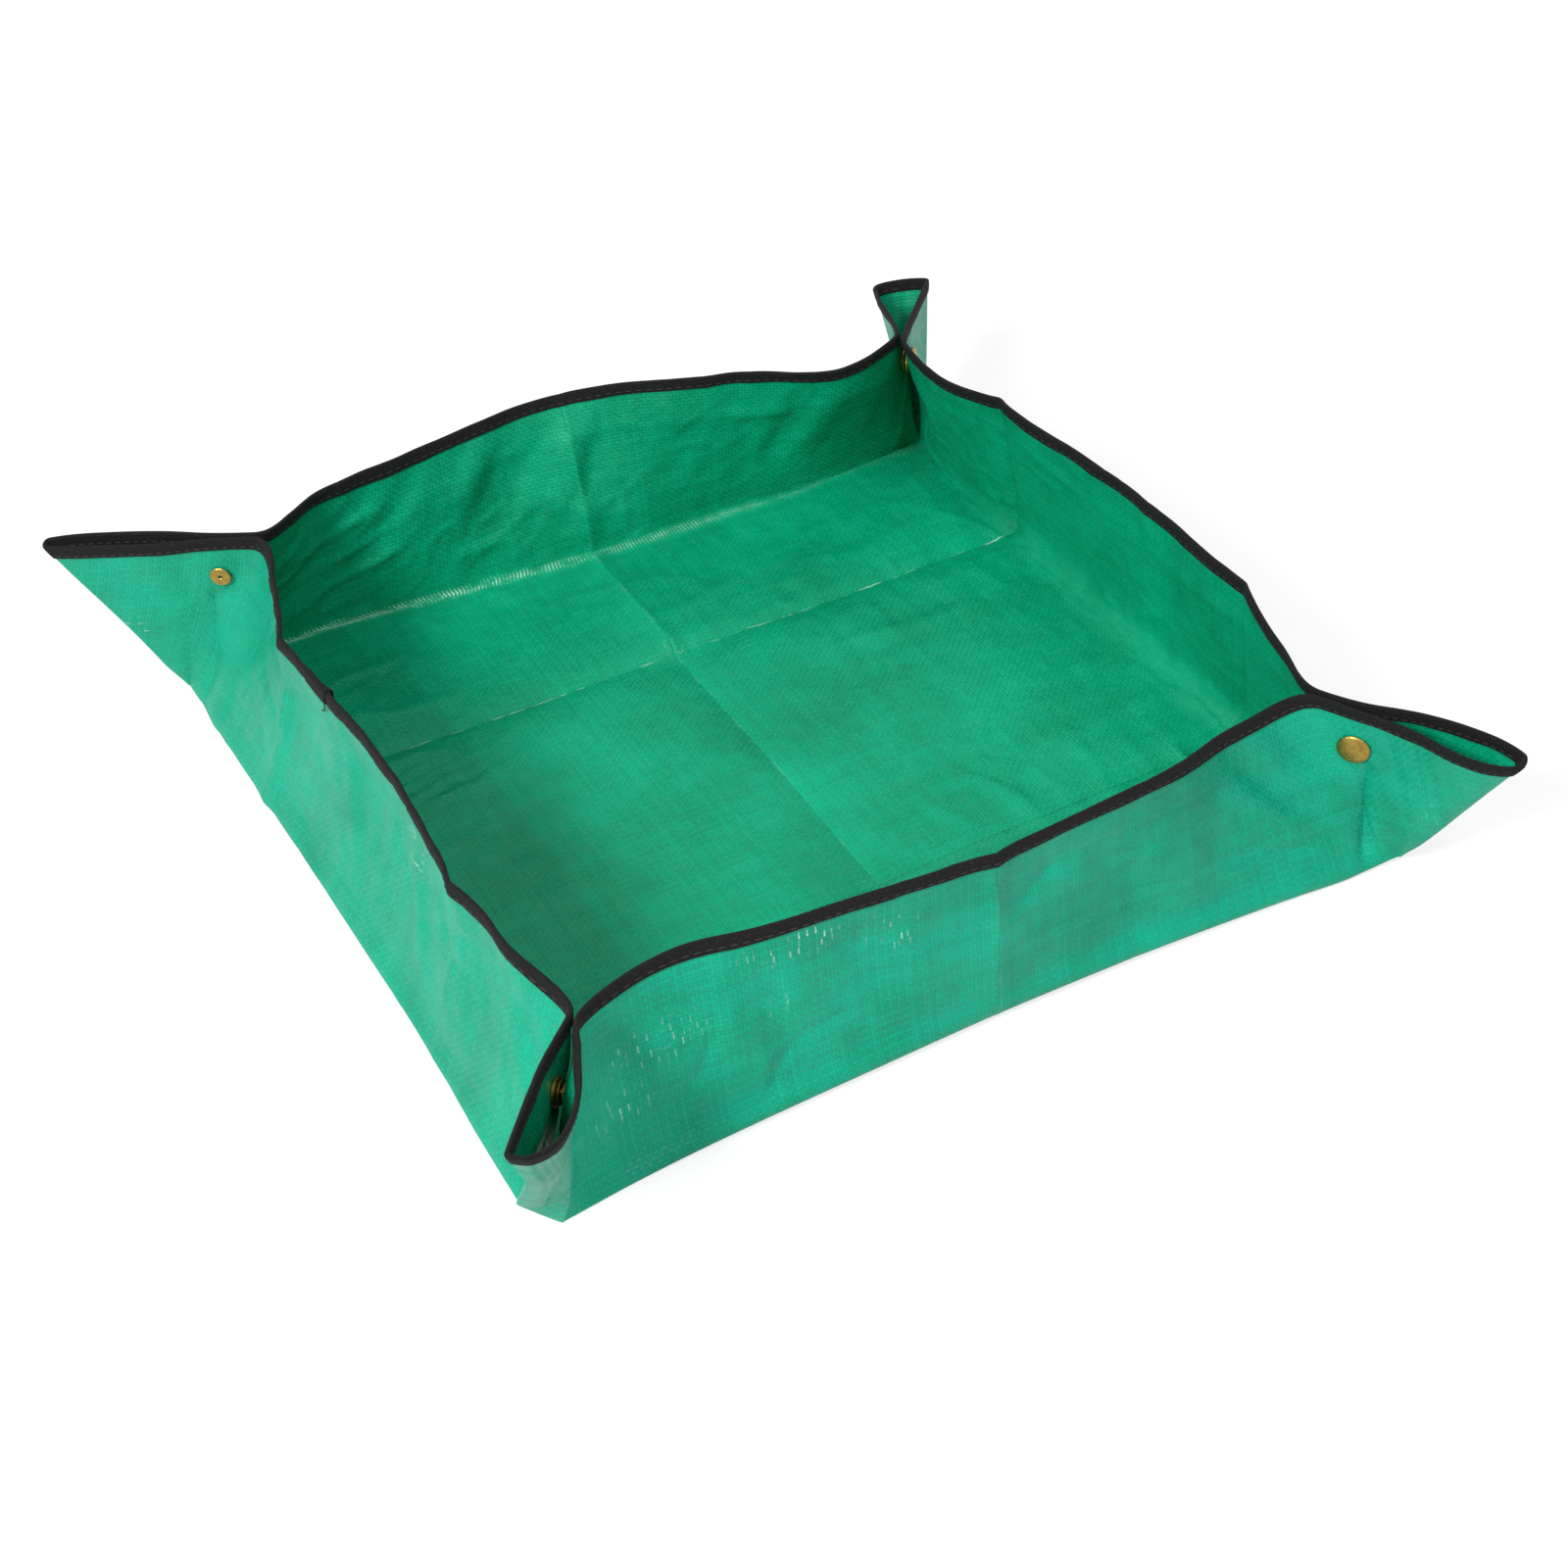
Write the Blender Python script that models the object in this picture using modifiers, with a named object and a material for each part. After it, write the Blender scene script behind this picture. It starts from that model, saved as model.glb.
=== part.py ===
"""A square mat of coated woven sheet, folded up into a shallow tray.

The sheet has a floor, four walls and, at each corner, an ear: the two halves of the corner
square folded together and held by a press snap.  Every wall turns on the crease along the
floor, and every ear half turns on the line from the floor's corner up to the rim, just before
the pinch.  A black tape binds the sheet's edge.  Lengths are in metres, +Z is up, and the
origin is under the middle of the floor.
"""
import math

import bmesh
import bpy
import numpy as np
from mathutils import Vector

# Sheet and binding
FLOOR_SIDE = 0.346
WALL_SLANT = 0.077
SHEET_THICK = 0.0005
TAPE_WIDTH = 0.0056
TAPE_THICK = 0.0005
TAPE_GAP = 0.0005
FIT_GAP = 0.0003

# Distances along the sheet's edge at each corner
EAR_RIM = 0.093
TURN_RIM = 0.012
SHOULDER_RIM = 0.035

# Clearances of the folds
FOLD_HALF_GAP = 0.0018
CREASE_GAP = 0.0005
SHEET_END_GAP = 0.0006
TAPE_END_GAP = 0.0009
EAR_START = 0.005

# Press snaps
CAP_DIAMETER = 0.0125
CAP_RISE = 0.0020
CAP_SKIRT = 0.0007
TUBE_DIAMETER = 0.0024
CAP_TUBE_REACH = 0.0004
SOCKET_DIAMETER = 0.0104
SOCKET_HEIGHT = 0.0015
STUD_DIAMETER = 0.0092
STUD_BASE = 0.0006
STUD_HEAD_DIAMETER = 0.0040
STUD_HEAD_HEIGHT = 0.0010
STUD_ROOF = 0.0004
POST_DIAMETER = 0.0087
POST_HEIGHT = 0.0009
POST_BORE = 0.0014
EDGE_ROUND = 0.0003
SNAP_OUT = 0.0175
SNAP_DROP = 0.0185

# Derived sizes
SHEET_SIDE = FLOOR_SIDE + 2 * WALL_SLANT
HALF_FLOOR = FLOOR_SIDE / 2
HALF_SHEET = SHEET_SIDE / 2
MID_HEIGHT = SHEET_THICK / 2
PACK_CREASE = SHEET_SIDE / 6
PINCH_RIM = HALF_SHEET - EAR_RIM
HINGE_RIM = PINCH_RIM - TURN_RIM
SHOULDER = PINCH_RIM - SHOULDER_RIM
SHEET_EDGE = TAPE_THICK + TAPE_GAP
TAPE_OFFSET = SHEET_THICK / 2 + TAPE_GAP + TAPE_THICK / 2
SEAT_INSIDE = FOLD_HALF_GAP - SHEET_THICK / 2 - FIT_GAP
SEAT_OUTSIDE = FOLD_HALF_GAP + SHEET_THICK / 2 + FIT_GAP

# Shares of the wall's slant: how far each pinch stands inward and up, each tip outward,
# sideways and up, and how far the rim leans outward at five places along each wall
pinch_shares = {
    "front_left": (0.366, 0.901),
    "front_right": (0.468, 0.955),
    "back_right": (0.461, 0.984),
    "back_left": (0.442, 1.013),
}
tip_shares = {
    "front_left": (0.640, 0.026, 1.048),
    "front_right": (0.504, -0.123, 0.825),
    "back_right": (0.499, 0.099, 0.809),
    "back_left": (0.669, 0.201, 0.929),
}
lean_shares = {
    "front": (-0.36, -0.24, -0.14, -0.22, -0.36),
    "right": (-0.25, -0.15, -0.12, -0.24, -0.33),
    "back": (-0.37, -0.21, 0.07, 0.01, -0.08),
    "left": (-0.25, -0.15, -0.18, -0.14, -0.12),
}
# Each ear half's belly, at the wall's start and at its end: its place as a share of the
# ear's rim, and its width as a share of the wall's slant
belly_shares = {
    "front": ((0.72, 0.247), (0.75, 0.130)),
    "right": ((0.62, 0.130), (0.60, 0.026)),
    "back": ((0.78, 0.247), (0.50, 0.078)),
    "left": ((0.55, 0.065), (0.60, 0.013)),
}
SEAT_SHARE = 0.38
TIP_TURN_SHARE = 0.8
draw_in_shares = (0.955, 0.965, 1.0, 0.965, 0.955)

# Counts of facets
WALL_STEPS = 28
EAR_STEPS = 14
SLANT_STEPS = 3
SNAP_STEPS = 24
DOME_STEPS = 4

WALLS = ("front", "right", "back", "left")
CORNERS = ("front_left", "front_right", "back_right", "back_left")
UP = np.eye(3)[2]


def unit(vector):
    return vector / np.linalg.norm(vector)


def wall_axes(wall):
    """Direction along the wall and direction out of the tray through it."""
    turn = WALLS.index(wall) * math.pi / 2
    along = np.array([math.cos(turn), math.sin(turn), 0.0])
    return along, np.cross(along, UP)


def wall_corners(wall):
    """The corners where the wall starts and ends."""
    start = WALLS.index(wall)
    return CORNERS[start], CORNERS[(start + 1) % len(CORNERS)]


def corner_walls(corner):
    """The walls that start and end at the corner."""
    index = CORNERS.index(corner)
    return WALLS[index], WALLS[index - 1]


def floor_corner(corner):
    """The floor's corner, the diagonal out through it, and the level direction across it."""
    starting, ending = corner_walls(corner)
    diagonal = wall_axes(starting)[1] + wall_axes(ending)[1]
    foot = diagonal * HALF_FLOOR + UP * MID_HEIGHT
    outward = unit(diagonal)
    return foot, outward, np.cross(UP, outward)


def ear_line(corner):
    """The ends of an ear's rim, at the pinch and at the sheet's corner."""
    foot, outward, sideways = floor_corner(corner)
    inward_share, pinch_up_share = pinch_shares[corner]
    out_share, side_share, up_share = tip_shares[corner]
    pinch = foot + WALL_SLANT * (UP * pinch_up_share - outward * inward_share)
    tip = foot + WALL_SLANT * (outward * out_share + sideways * side_share + UP * up_share)
    return pinch, tip


def ear_normal(corner):
    """Normal of the ear's middle plane, towards the wall that ends at this corner."""
    foot = floor_corner(corner)[0]
    pinch, tip = ear_line(corner)
    return unit(np.cross(tip - foot, pinch - foot))


def ear_side(wall, end):
    """Direction from the ear's middle plane to this wall's own half."""
    normal = ear_normal(wall_corners(wall)[end])
    return normal if end else -normal


def ear_knots(wall, end):
    """Rim of one ear half: straight over the snap's seat, then out round the belly to the tip."""
    pinch, tip = ear_line(wall_corners(wall)[end])
    side = ear_side(wall, end)
    run = (tip - pinch) / EAR_RIM
    belly_share, width_share = belly_shares[wall][end]
    start = pinch + side * FOLD_HALF_GAP
    bulge = side * WALL_SLANT * width_share
    seat_rim = EAR_RIM * SEAT_SHARE
    belly_rim = EAR_RIM * belly_share
    closing = bulge / (EAR_RIM - belly_rim)
    tip_run = run - closing * (1 + TIP_TURN_SHARE)
    return [
        (PINCH_RIM, start, run),
        (PINCH_RIM + seat_rim, start + run * seat_rim, run),
        (PINCH_RIM + belly_rim, start + bulge + run * belly_rim, run),
        (HALF_SHEET, tip + side * FOLD_HALF_GAP, tip_run),
    ]


def rim_knots(wall):
    """The wall's whole rim from tip to tip: place along the edge, point and direction."""
    along, out = wall_axes(wall)
    knots = []
    for place, point, run in reversed(ear_knots(wall, 0)):
        knots.append((-place, point, -run))
    first = len(knots)
    places = (-SHOULDER, -PACK_CREASE, 0.0, PACK_CREASE, SHOULDER)
    for place, draw_share, lean_share in zip(places, draw_in_shares, lean_shares[wall]):
        lean = WALL_SLANT * lean_share
        rise = math.sqrt(WALL_SLANT ** 2 - lean ** 2)
        point = along * place * draw_share + out * (HALF_FLOOR + lean) + UP * (MID_HEIGHT + rise)
        knots.append((place, point, None))
    knots += ear_knots(wall, 1)
    for index in range(first, first + len(places)):
        before = knots[index - 1]
        here = knots[index]
        after = knots[index + 1]
        gap_before = here[0] - before[0]
        gap_after = after[0] - here[0]
        slope_before = (here[1] - before[1]) / gap_before
        slope_after = (after[1] - here[1]) / gap_after
        run = (slope_before * gap_after + slope_after * gap_before) / (gap_before + gap_after)
        knots[index] = (here[0], here[1], run)
    return knots


def rim_point(knots, place):
    """Cubic curve through the rim's knots."""
    index = 0
    while index < len(knots) - 2 and place > knots[index + 1][0]:
        index += 1
    start, start_point, start_run = knots[index]
    stop, stop_point, stop_run = knots[index + 1]
    span = stop - start
    s = (place - start) / span
    return (
        start_point * (2 * s ** 3 - 3 * s ** 2 + 1)
        + start_run * span * (s ** 3 - 2 * s ** 2 + s)
        + stop_point * (3 * s ** 2 - 2 * s ** 3)
        + stop_run * span * (s ** 3 - s ** 2)
    )


def foot_point(wall, place):
    """Lower end of the straight line in the sheet that meets the rim at this place."""
    along, out = wall_axes(wall)
    share = max(-1.0, min(1.0, place / HINGE_RIM))
    foot = along * HALF_FLOOR * share + out * HALF_FLOOR + UP * MID_HEIGHT
    past_share = min(1.0, max(0.0, (abs(place) - HINGE_RIM) / TURN_RIM))
    return foot + ear_side(wall, int(place > 0)) * FOLD_HALF_GAP * past_share


class WallSurface:
    """Middle surface of one wall with its two ear halves, and points off it."""

    def __init__(self, wall):
        self.wall = wall
        self.knots = rim_knots(wall)

    def point(self, place, below, aside=0.0):
        """Point a distance below the rim, measured up the wall, and aside from the sheet."""
        foot = foot_point(self.wall, place)
        rim = rim_point(self.knots, place)
        spot = rim + (foot - rim) * below / WALL_SLANT
        if aside:
            spot = spot + self.normal(place) * aside
        return spot

    def normal(self, place):
        """Direction out of the sheet near the rim."""
        back = max(-HALF_SHEET, place - SHEET_THICK)
        ahead = min(HALF_SHEET, place + SHEET_THICK)
        run = rim_point(self.knots, ahead) - rim_point(self.knots, back)
        rise = rim_point(self.knots, place) - foot_point(self.wall, place)
        return unit(np.cross(run, rise))


def make_collection(name):
    collection = bpy.data.collections.new(name)
    bpy.context.scene.collection.children.link(collection)
    return collection


def make_material(name, color, roughness, metallic=0.0):
    material = bpy.data.materials.new(name)
    material.use_nodes = True
    shader = material.node_tree.nodes["Principled BSDF"]
    shader.inputs["Base Color"].default_value = (*color, 1.0)
    shader.inputs["Roughness"].default_value = roughness
    shader.inputs["Metallic"].default_value = metallic
    return material


def add_object(name, mesh, material, collection, pivot, parent=None):
    """Puts a mesh in the scene with its origin at the pivot, under its parent piece."""
    mesh.materials.append(material)
    piece = bpy.data.objects.new(name, mesh)
    collection.objects.link(piece)
    piece.location = Vector(pivot)
    piece["pivot"] = tuple(pivot)
    if parent:
        piece.parent = parent
        piece.location = Vector(pivot) - Vector(parent["pivot"])
    return piece


def surface_mesh(name, across, up, spot, pivot):
    """A grid of faces with each corner moved to spot(share across, share up)."""
    mesh = bpy.data.meshes.new(name)
    grid = bmesh.new()
    bmesh.ops.create_grid(grid, x_segments=across, y_segments=up, size=1)
    for vertex in grid.verts:
        across_share = (vertex.co.x + 1) / 2
        up_share = (vertex.co.y + 1) / 2
        vertex.co = Vector(spot(across_share, up_share) - pivot)
    grid.to_mesh(mesh)
    grid.free()
    return mesh


def add_thickness(piece, thickness):
    solid = piece.modifiers.new("Thickness", "SOLIDIFY")
    solid.thickness = thickness
    solid.offset = 0
    solid.use_even_offset = True


def make_floor(material, collection):
    """The flat floor, cut just inside the creases."""
    side = FLOOR_SIDE - 2 * CREASE_GAP
    mesh = bpy.data.meshes.new("floor_panel")
    plate = bmesh.new()
    bmesh.ops.create_cube(plate, size=1)
    for vertex in plate.verts:
        vertex.co.x *= side
        vertex.co.y *= side
        vertex.co.z *= SHEET_THICK
    plate.to_mesh(mesh)
    plate.free()
    return add_object("floor_panel", mesh, material, collection, UP * MID_HEIGHT)


def make_strip(name, surface, places, steps, lowest, pivot, material, collection, parent):
    """A panel of the sheet between two places along the rim, from its edge down to lowest."""
    rows = [lowest + (TAPE_WIDTH - lowest) * row / SLANT_STEPS for row in range(SLANT_STEPS + 1)]
    rows.append(SHEET_EDGE)

    def spot(across_share, up_share):
        place = places[0] + (places[1] - places[0]) * across_share
        return surface.point(place, rows[round(up_share * (len(rows) - 1))])

    mesh = surface_mesh(name, steps, len(rows) - 1, spot, pivot)
    piece = add_object(name, mesh, material, collection, pivot, parent)
    add_thickness(piece, SHEET_THICK)
    return piece


def make_tape(name, surface, places, steps, pivot, material, collection, parent):
    """A length of binding tape, folded over the sheet's edge."""
    fold = (
        (TAPE_WIDTH, TAPE_OFFSET),
        (TAPE_THICK / 2, TAPE_OFFSET),
        (TAPE_THICK / 2, -TAPE_OFFSET),
        (TAPE_WIDTH, -TAPE_OFFSET),
    )

    def spot(across_share, up_share):
        place = places[0] + (places[1] - places[0]) * across_share
        below, aside = fold[round(up_share * (len(fold) - 1))]
        return surface.point(place, below, aside)

    mesh = surface_mesh(name, steps, len(fold) - 1, spot, pivot)
    piece = add_object(name, mesh, material, collection, pivot, parent)
    add_thickness(piece, TAPE_THICK)
    return piece


def make_wall(wall, floor, sheet, tape, collection):
    """One wall, its two ear halves and their tape.  Returns the ear halves by end."""
    surface = WallSurface(wall)
    out = wall_axes(wall)[1]
    hinge = out * HALF_FLOOR + UP * MID_HEIGHT
    reach = HINGE_RIM - SHEET_END_GAP
    lowest = WALL_SLANT - CREASE_GAP
    panel = make_strip(
        f"{wall}_wall", surface, (-reach, reach), WALL_STEPS, lowest, hinge, sheet, collection, floor
    )
    reach = HINGE_RIM - TAPE_END_GAP
    make_tape(
        f"{wall}_wall_tape", surface, (-reach, reach), WALL_STEPS, hinge, tape, collection, panel
    )
    halves = []
    lowest = WALL_SLANT - EAR_START
    for end, corner in enumerate(wall_corners(wall)):
        sign = 1 if end else -1
        foot = floor_corner(corner)[0]
        name = f"{wall}_ear_half_{corner}"
        places = sorted((sign * (HINGE_RIM + SHEET_END_GAP), sign * HALF_SHEET))
        half = make_strip(
            name, surface, places, EAR_STEPS, lowest, foot, sheet, collection, panel
        )
        places = sorted((sign * (HINGE_RIM + TAPE_END_GAP), sign * HALF_SHEET))
        make_tape(f"{name}_tape", surface, places, EAR_STEPS, foot, tape, collection, half)
        halves.append(half)
    return halves


def snap_centre(corner):
    """Middle of the snap, in the ear's middle plane."""
    foot = floor_corner(corner)[0]
    pinch, tip = ear_line(corner)
    run = unit(tip - pinch)
    down = unit((foot - pinch) - run * np.dot(foot - pinch, run))
    return pinch + run * SNAP_OUT + down * SNAP_DROP


def turned_mesh(name, profile):
    """Mesh of a profile's edges, as (radius, height) from the top down the outer side."""
    mesh = bpy.data.meshes.new(name)
    points = [(radius, 0.0, height) for radius, height in profile]
    on_axis = profile[0][0] == 0 and profile[-1][0] == 0
    edges = [(index, index + 1) for index in range(len(points) - 1)]
    if not on_axis:
        edges.append((len(points) - 1, 0))
    mesh.from_pydata(points, edges, [])
    return mesh


def add_turn(piece):
    turn = piece.modifiers.new("Turn", "SCREW")
    turn.steps = SNAP_STEPS
    turn.render_steps = SNAP_STEPS
    turn.use_merge_vertices = True
    turn.merge_threshold = EDGE_ROUND / 10
    piece.data.shade_smooth()


def cap_profile():
    """Domed cap, its flat back and the tube through the sheet."""
    radius = CAP_DIAMETER / 2
    profile = []
    for step in range(DOME_STEPS + 1):
        angle = math.pi / 2 * step / DOME_STEPS
        height = SEAT_OUTSIDE + CAP_SKIRT + (CAP_RISE - CAP_SKIRT) * math.cos(angle)
        profile.append((radius * math.sin(angle), height))
    profile[0] = (0.0, SEAT_OUTSIDE + CAP_RISE)
    profile += [
        (radius, SEAT_OUTSIDE + EDGE_ROUND),
        (radius - EDGE_ROUND, SEAT_OUTSIDE),
        (TUBE_DIAMETER / 2, SEAT_OUTSIDE),
        (TUBE_DIAMETER / 2, SEAT_INSIDE - CAP_TUBE_REACH),
        (0.0, SEAT_INSIDE - CAP_TUBE_REACH),
    ]
    return profile


def socket_profile():
    """Ring with the bore that takes the stud's head."""
    radius = SOCKET_DIAMETER / 2
    bore = STUD_HEAD_DIAMETER / 2 + FIT_GAP
    top = SEAT_INSIDE
    bottom = SEAT_INSIDE - SOCKET_HEIGHT
    return [
        (bore + EDGE_ROUND, top),
        (radius - EDGE_ROUND, top),
        (radius, top - EDGE_ROUND),
        (radius, bottom + EDGE_ROUND),
        (radius - EDGE_ROUND, bottom),
        (bore + EDGE_ROUND, bottom),
        (bore, bottom + EDGE_ROUND),
        (bore, top - EDGE_ROUND),
    ]


def stud_profile():
    """Disc with a hollow head that presses into the socket."""
    radius = STUD_DIAMETER / 2
    head = STUD_HEAD_DIAMETER / 2
    hollow = TUBE_DIAMETER / 2 + FIT_GAP
    base = -SEAT_INSIDE
    shoulder = base + STUD_BASE
    top = shoulder + STUD_HEAD_HEIGHT
    return [
        (0.0, top),
        (head - EDGE_ROUND, top),
        (head, top - EDGE_ROUND),
        (head, shoulder),
        (radius - EDGE_ROUND, shoulder),
        (radius, shoulder - EDGE_ROUND),
        (radius, base),
        (hollow, base),
        (hollow, top - STUD_ROOF),
        (0.0, top - STUD_ROOF),
    ]


def post_profile():
    """Flange and open tube of the post that holds the stud."""
    radius = POST_DIAMETER / 2
    tube = TUBE_DIAMETER / 2
    bore = POST_BORE / 2
    seat = -SEAT_OUTSIDE
    face = seat - POST_HEIGHT
    end = STUD_BASE - SEAT_INSIDE
    return [
        (bore, end),
        (tube, end),
        (tube, seat),
        (radius - EDGE_ROUND, seat),
        (radius, seat - EDGE_ROUND),
        (radius, face + EDGE_ROUND),
        (radius - EDGE_ROUND, face),
        (bore + EDGE_ROUND, face),
        (bore, face + EDGE_ROUND),
    ]


def make_snap(corner, start_half, end_half, brass, collection, cutters):
    """One snap: cap and socket on the half that ends its wall, stud and post on the other."""
    centre = snap_centre(corner)
    normal = ear_normal(corner)
    facing = Vector(normal).to_track_quat("Z", "Y").to_euler()
    pieces = (
        ("cap", cap_profile(), end_half),
        ("socket", socket_profile(), end_half),
        ("stud", stud_profile(), start_half),
        ("post", post_profile(), start_half),
    )
    for kind, profile, half in pieces:
        name = f"snap_{kind}_{corner}"
        mesh = turned_mesh(name, profile)
        piece = add_object(name, mesh, brass, collection, centre, half)
        piece.rotation_euler = facing
        add_turn(piece)
    for side, half in ((1, end_half), (-1, start_half)):
        middle = centre + normal * side * FOLD_HALF_GAP
        mesh = bpy.data.meshes.new(f"{half.name}_hole")
        drill = bmesh.new()
        radius = TUBE_DIAMETER / 2 + FIT_GAP
        bmesh.ops.create_cone(
            drill, cap_ends=True, segments=SNAP_STEPS, radius1=radius, radius2=radius,
            depth=2 * FOLD_HALF_GAP
        )
        drill.to_mesh(mesh)
        drill.free()
        cutter = bpy.data.objects.new(f"{half.name}_hole", mesh)
        cutters.objects.link(cutter)
        cutter.location = Vector(middle)
        cutter.rotation_euler = facing
        cutter.hide_render = True
        cutter.display_type = "WIRE"
        hole = half.modifiers.new("Snap hole", "BOOLEAN")
        hole.operation = "DIFFERENCE"
        hole.object = cutter


def main():
    for item in list(bpy.data.objects):
        bpy.data.objects.remove(item, do_unlink=True)
    collection = make_collection("repotting_mat")
    cutters = make_collection("cutters")
    sheet = make_material("green coated woven sheet", (0.013, 0.36, 0.20), 0.45)
    tape = make_material("black woven binding tape", (0.02, 0.018, 0.02), 0.85)
    brass = make_material("aged brass", (0.38, 0.27, 0.12), 0.35, 1.0)
    floor = make_floor(sheet, collection)
    halves = {}
    for wall in WALLS:
        halves[wall] = make_wall(wall, floor, sheet, tape, collection)
    for corner in CORNERS:
        starting, ending = corner_walls(corner)
        make_snap(corner, halves[starting][0], halves[ending][1], brass, collection, cutters)


main()
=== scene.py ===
"""A repotting mat of green coated woven sheet with a black bound edge, snapped into a tray.

The cloth is worked out on the flat sheet: every point has a place along the edge and a height
up from the base crease, and the folded form is a function of those two.  Metres, +Z up.
"""
import math

import bpy
import numpy as np
from mathutils import Matrix


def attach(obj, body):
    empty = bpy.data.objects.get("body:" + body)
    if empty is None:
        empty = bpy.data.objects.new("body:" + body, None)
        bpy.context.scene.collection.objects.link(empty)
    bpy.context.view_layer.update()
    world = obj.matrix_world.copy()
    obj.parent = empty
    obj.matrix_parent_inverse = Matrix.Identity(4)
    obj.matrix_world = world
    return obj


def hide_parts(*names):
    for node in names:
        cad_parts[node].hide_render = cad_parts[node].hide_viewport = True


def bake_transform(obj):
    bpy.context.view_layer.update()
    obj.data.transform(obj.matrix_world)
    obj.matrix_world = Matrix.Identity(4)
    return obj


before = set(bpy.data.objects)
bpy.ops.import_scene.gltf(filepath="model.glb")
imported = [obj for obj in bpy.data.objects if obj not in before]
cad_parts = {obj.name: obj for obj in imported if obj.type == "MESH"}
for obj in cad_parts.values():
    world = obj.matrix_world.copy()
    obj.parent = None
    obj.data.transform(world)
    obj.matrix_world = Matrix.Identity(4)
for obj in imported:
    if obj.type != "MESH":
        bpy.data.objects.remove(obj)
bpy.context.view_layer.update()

MM = 0.001

# The mat's sizes, as in the CAD
FLOOR_SIDE = 346 * MM
WALL_SLANT = 77 * MM
SHEET_THICK = 0.5 * MM
TAPE_WIDTH = 5.6 * MM
EAR_RIM = 93 * MM
TURN_RIM = 12 * MM
SHOULDER_RIM = 35 * MM
FOLD_HALF_GAP = 1.8 * MM
SNAP_OUT = 17.5 * MM
SNAP_DROP = 18.5 * MM

SHEET_SIDE = FLOOR_SIDE + 2 * WALL_SLANT
HALF_FLOOR = FLOOR_SIDE / 2
HALF_SHEET = SHEET_SIDE / 2
MID_HEIGHT = SHEET_THICK / 2
PACK_CREASE = SHEET_SIDE / 6
PINCH_RIM = HALF_SHEET - EAR_RIM
HINGE_RIM = PINCH_RIM - TURN_RIM
SHOULDER = PINCH_RIM - SHOULDER_RIM

WALLS = ("front", "right", "back", "left")
CORNERS = ("front_left", "front_right", "back_right", "back_left")
UP = np.array([0.0, 0.0, 1.0])

# Each ear's pinch, from the floor's corner, in shares of the slant: inwards and up
pinch_shares = {
    "front_left": (0.366, 0.901),
    "front_right": (0.468, 0.955),
    "back_right": (0.461, 0.984),
    "back_left": (0.442, 1.013),
}
# Each ear's tip, from the same corner: outwards, sideways and up
tip_shares = {
    "front_left": (0.640, 0.026, 1.048),
    "front_right": (0.504, -0.123, 0.825),
    "back_right": (0.499, 0.099, 0.809),
    "back_left": (0.669, 0.201, 0.929),
}
# How far each wall's rim leans out at five places, and how far the rim draws in there
lean_shares = {
    "front": (-0.36, -0.24, -0.14, -0.22, -0.36),
    "right": (-0.25, -0.15, -0.12, -0.24, -0.33),
    "back": (-0.37, -0.21, 0.07, 0.01, -0.08),
    "left": (-0.25, -0.15, -0.18, -0.14, -0.155),
}
draw_in_shares = (0.955, 0.965, 1.0, 0.965, 0.955)

# How far each ear half's rim flares from the ear's middle plane, in millimetres, at these
# shares of the way from the pinch to the tip, at the wall's start and at its end
FLARE_SHARES = (0.0, 0.2, 0.45, 0.7, 0.88, 1.0)
flares = {
    "front": ((0, 5.5, 11.5, 12.5, 9.0, 0), (0, 0.8, 2.0, 6.5, 5.5, 0)),
    "right": ((0, 0.8, 5.2, 6.5, 4.5, 0), (0, 0.2, 0.5, 0.6, 0.4, 0)),
    "back": ((0, 3.5, 10.5, 17.0, 17.0, 0), (0, 0.6, 3.0, 3.4, 2.4, 0)),
    "left": ((0, 0.3, 2.0, 2.2, 1.6, 0), (0, 0.1, 0.4, 0.6, 0.4, 0)),
}

# How far the fold gapes inside the far corner, below the snap, and where it does: the place
# along the edge and the height, with the distances over which it dies away
POCKET = {"right": 6.5 * MM, "back": 1.5 * MM}
POCKET_PLACE, POCKET_HEIGHT = (152 * MM, 16 * MM), (30 * MM, 17 * MM)

# How far each ear's keel hangs below a straight fold, in millimetres
KEEL_SAG = {"front_left": 0.5, "front_right": -0.5, "back_right": 2.0, "back_left": 3.0}

# How far the bend at a wall's foot stands outside the base crease, at these places along it
BEND_PLACES = (-173, -150, -110, -60, 0, 60, 110, 150, 173)
BEND_SHIFTS = {
    "front": (0, -1, -2, -3, -4.5, -3.5, -1.5, 0, 0),
    "right": (0,) * 9,
    "back": (0, -4, -8, -8, -8, 0, 8, 5, 0),
    "left": (0,) * 9,
}

WEAVE_PITCH = 1.6 * MM      # one tape, as on the real mat
FLOOR_BORDER = 26 * MM      # the flat floor piece ends this far inside the crease
# Half the soft bend at the foot of each wall, and from where to where along the sheet, in
# millimetres from the crease, the wall's piece turns from the floor's body to the wall's
BASE_BEND = {"front": 10 * MM, "right": 22 * MM, "back": 9 * MM, "left": 4 * MM}
JOINT_REACH = {"front": (-14, 14), "right": (-22, 22), "back": (-14, 14), "left": (0, 42)}
CORNER_BEND = 1.0 * MM      # the same at the floor's corners
FAN_END = 190 * MM          # past here along the rim every ruling starts at the floor's corner
FLARE_DEPTH = 20 * MM       # above the snap the flare dies away over this depth
TURN_BLEND = 12 * MM        # the sheet gives over this width beside an ear's hinge line
EAR_FOOT = 0.5 * MM         # the ear halves start this far up from the floor's corner
KEEL_ROUND = 3.0 * MM       # rim taken up by the rounded fold at an ear's outer end
STEP = 1.5 * MM             # the walls' grid, along the rim


def unit(vector):
    return vector / np.linalg.norm(vector, axis=-1, keepdims=True)


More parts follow.
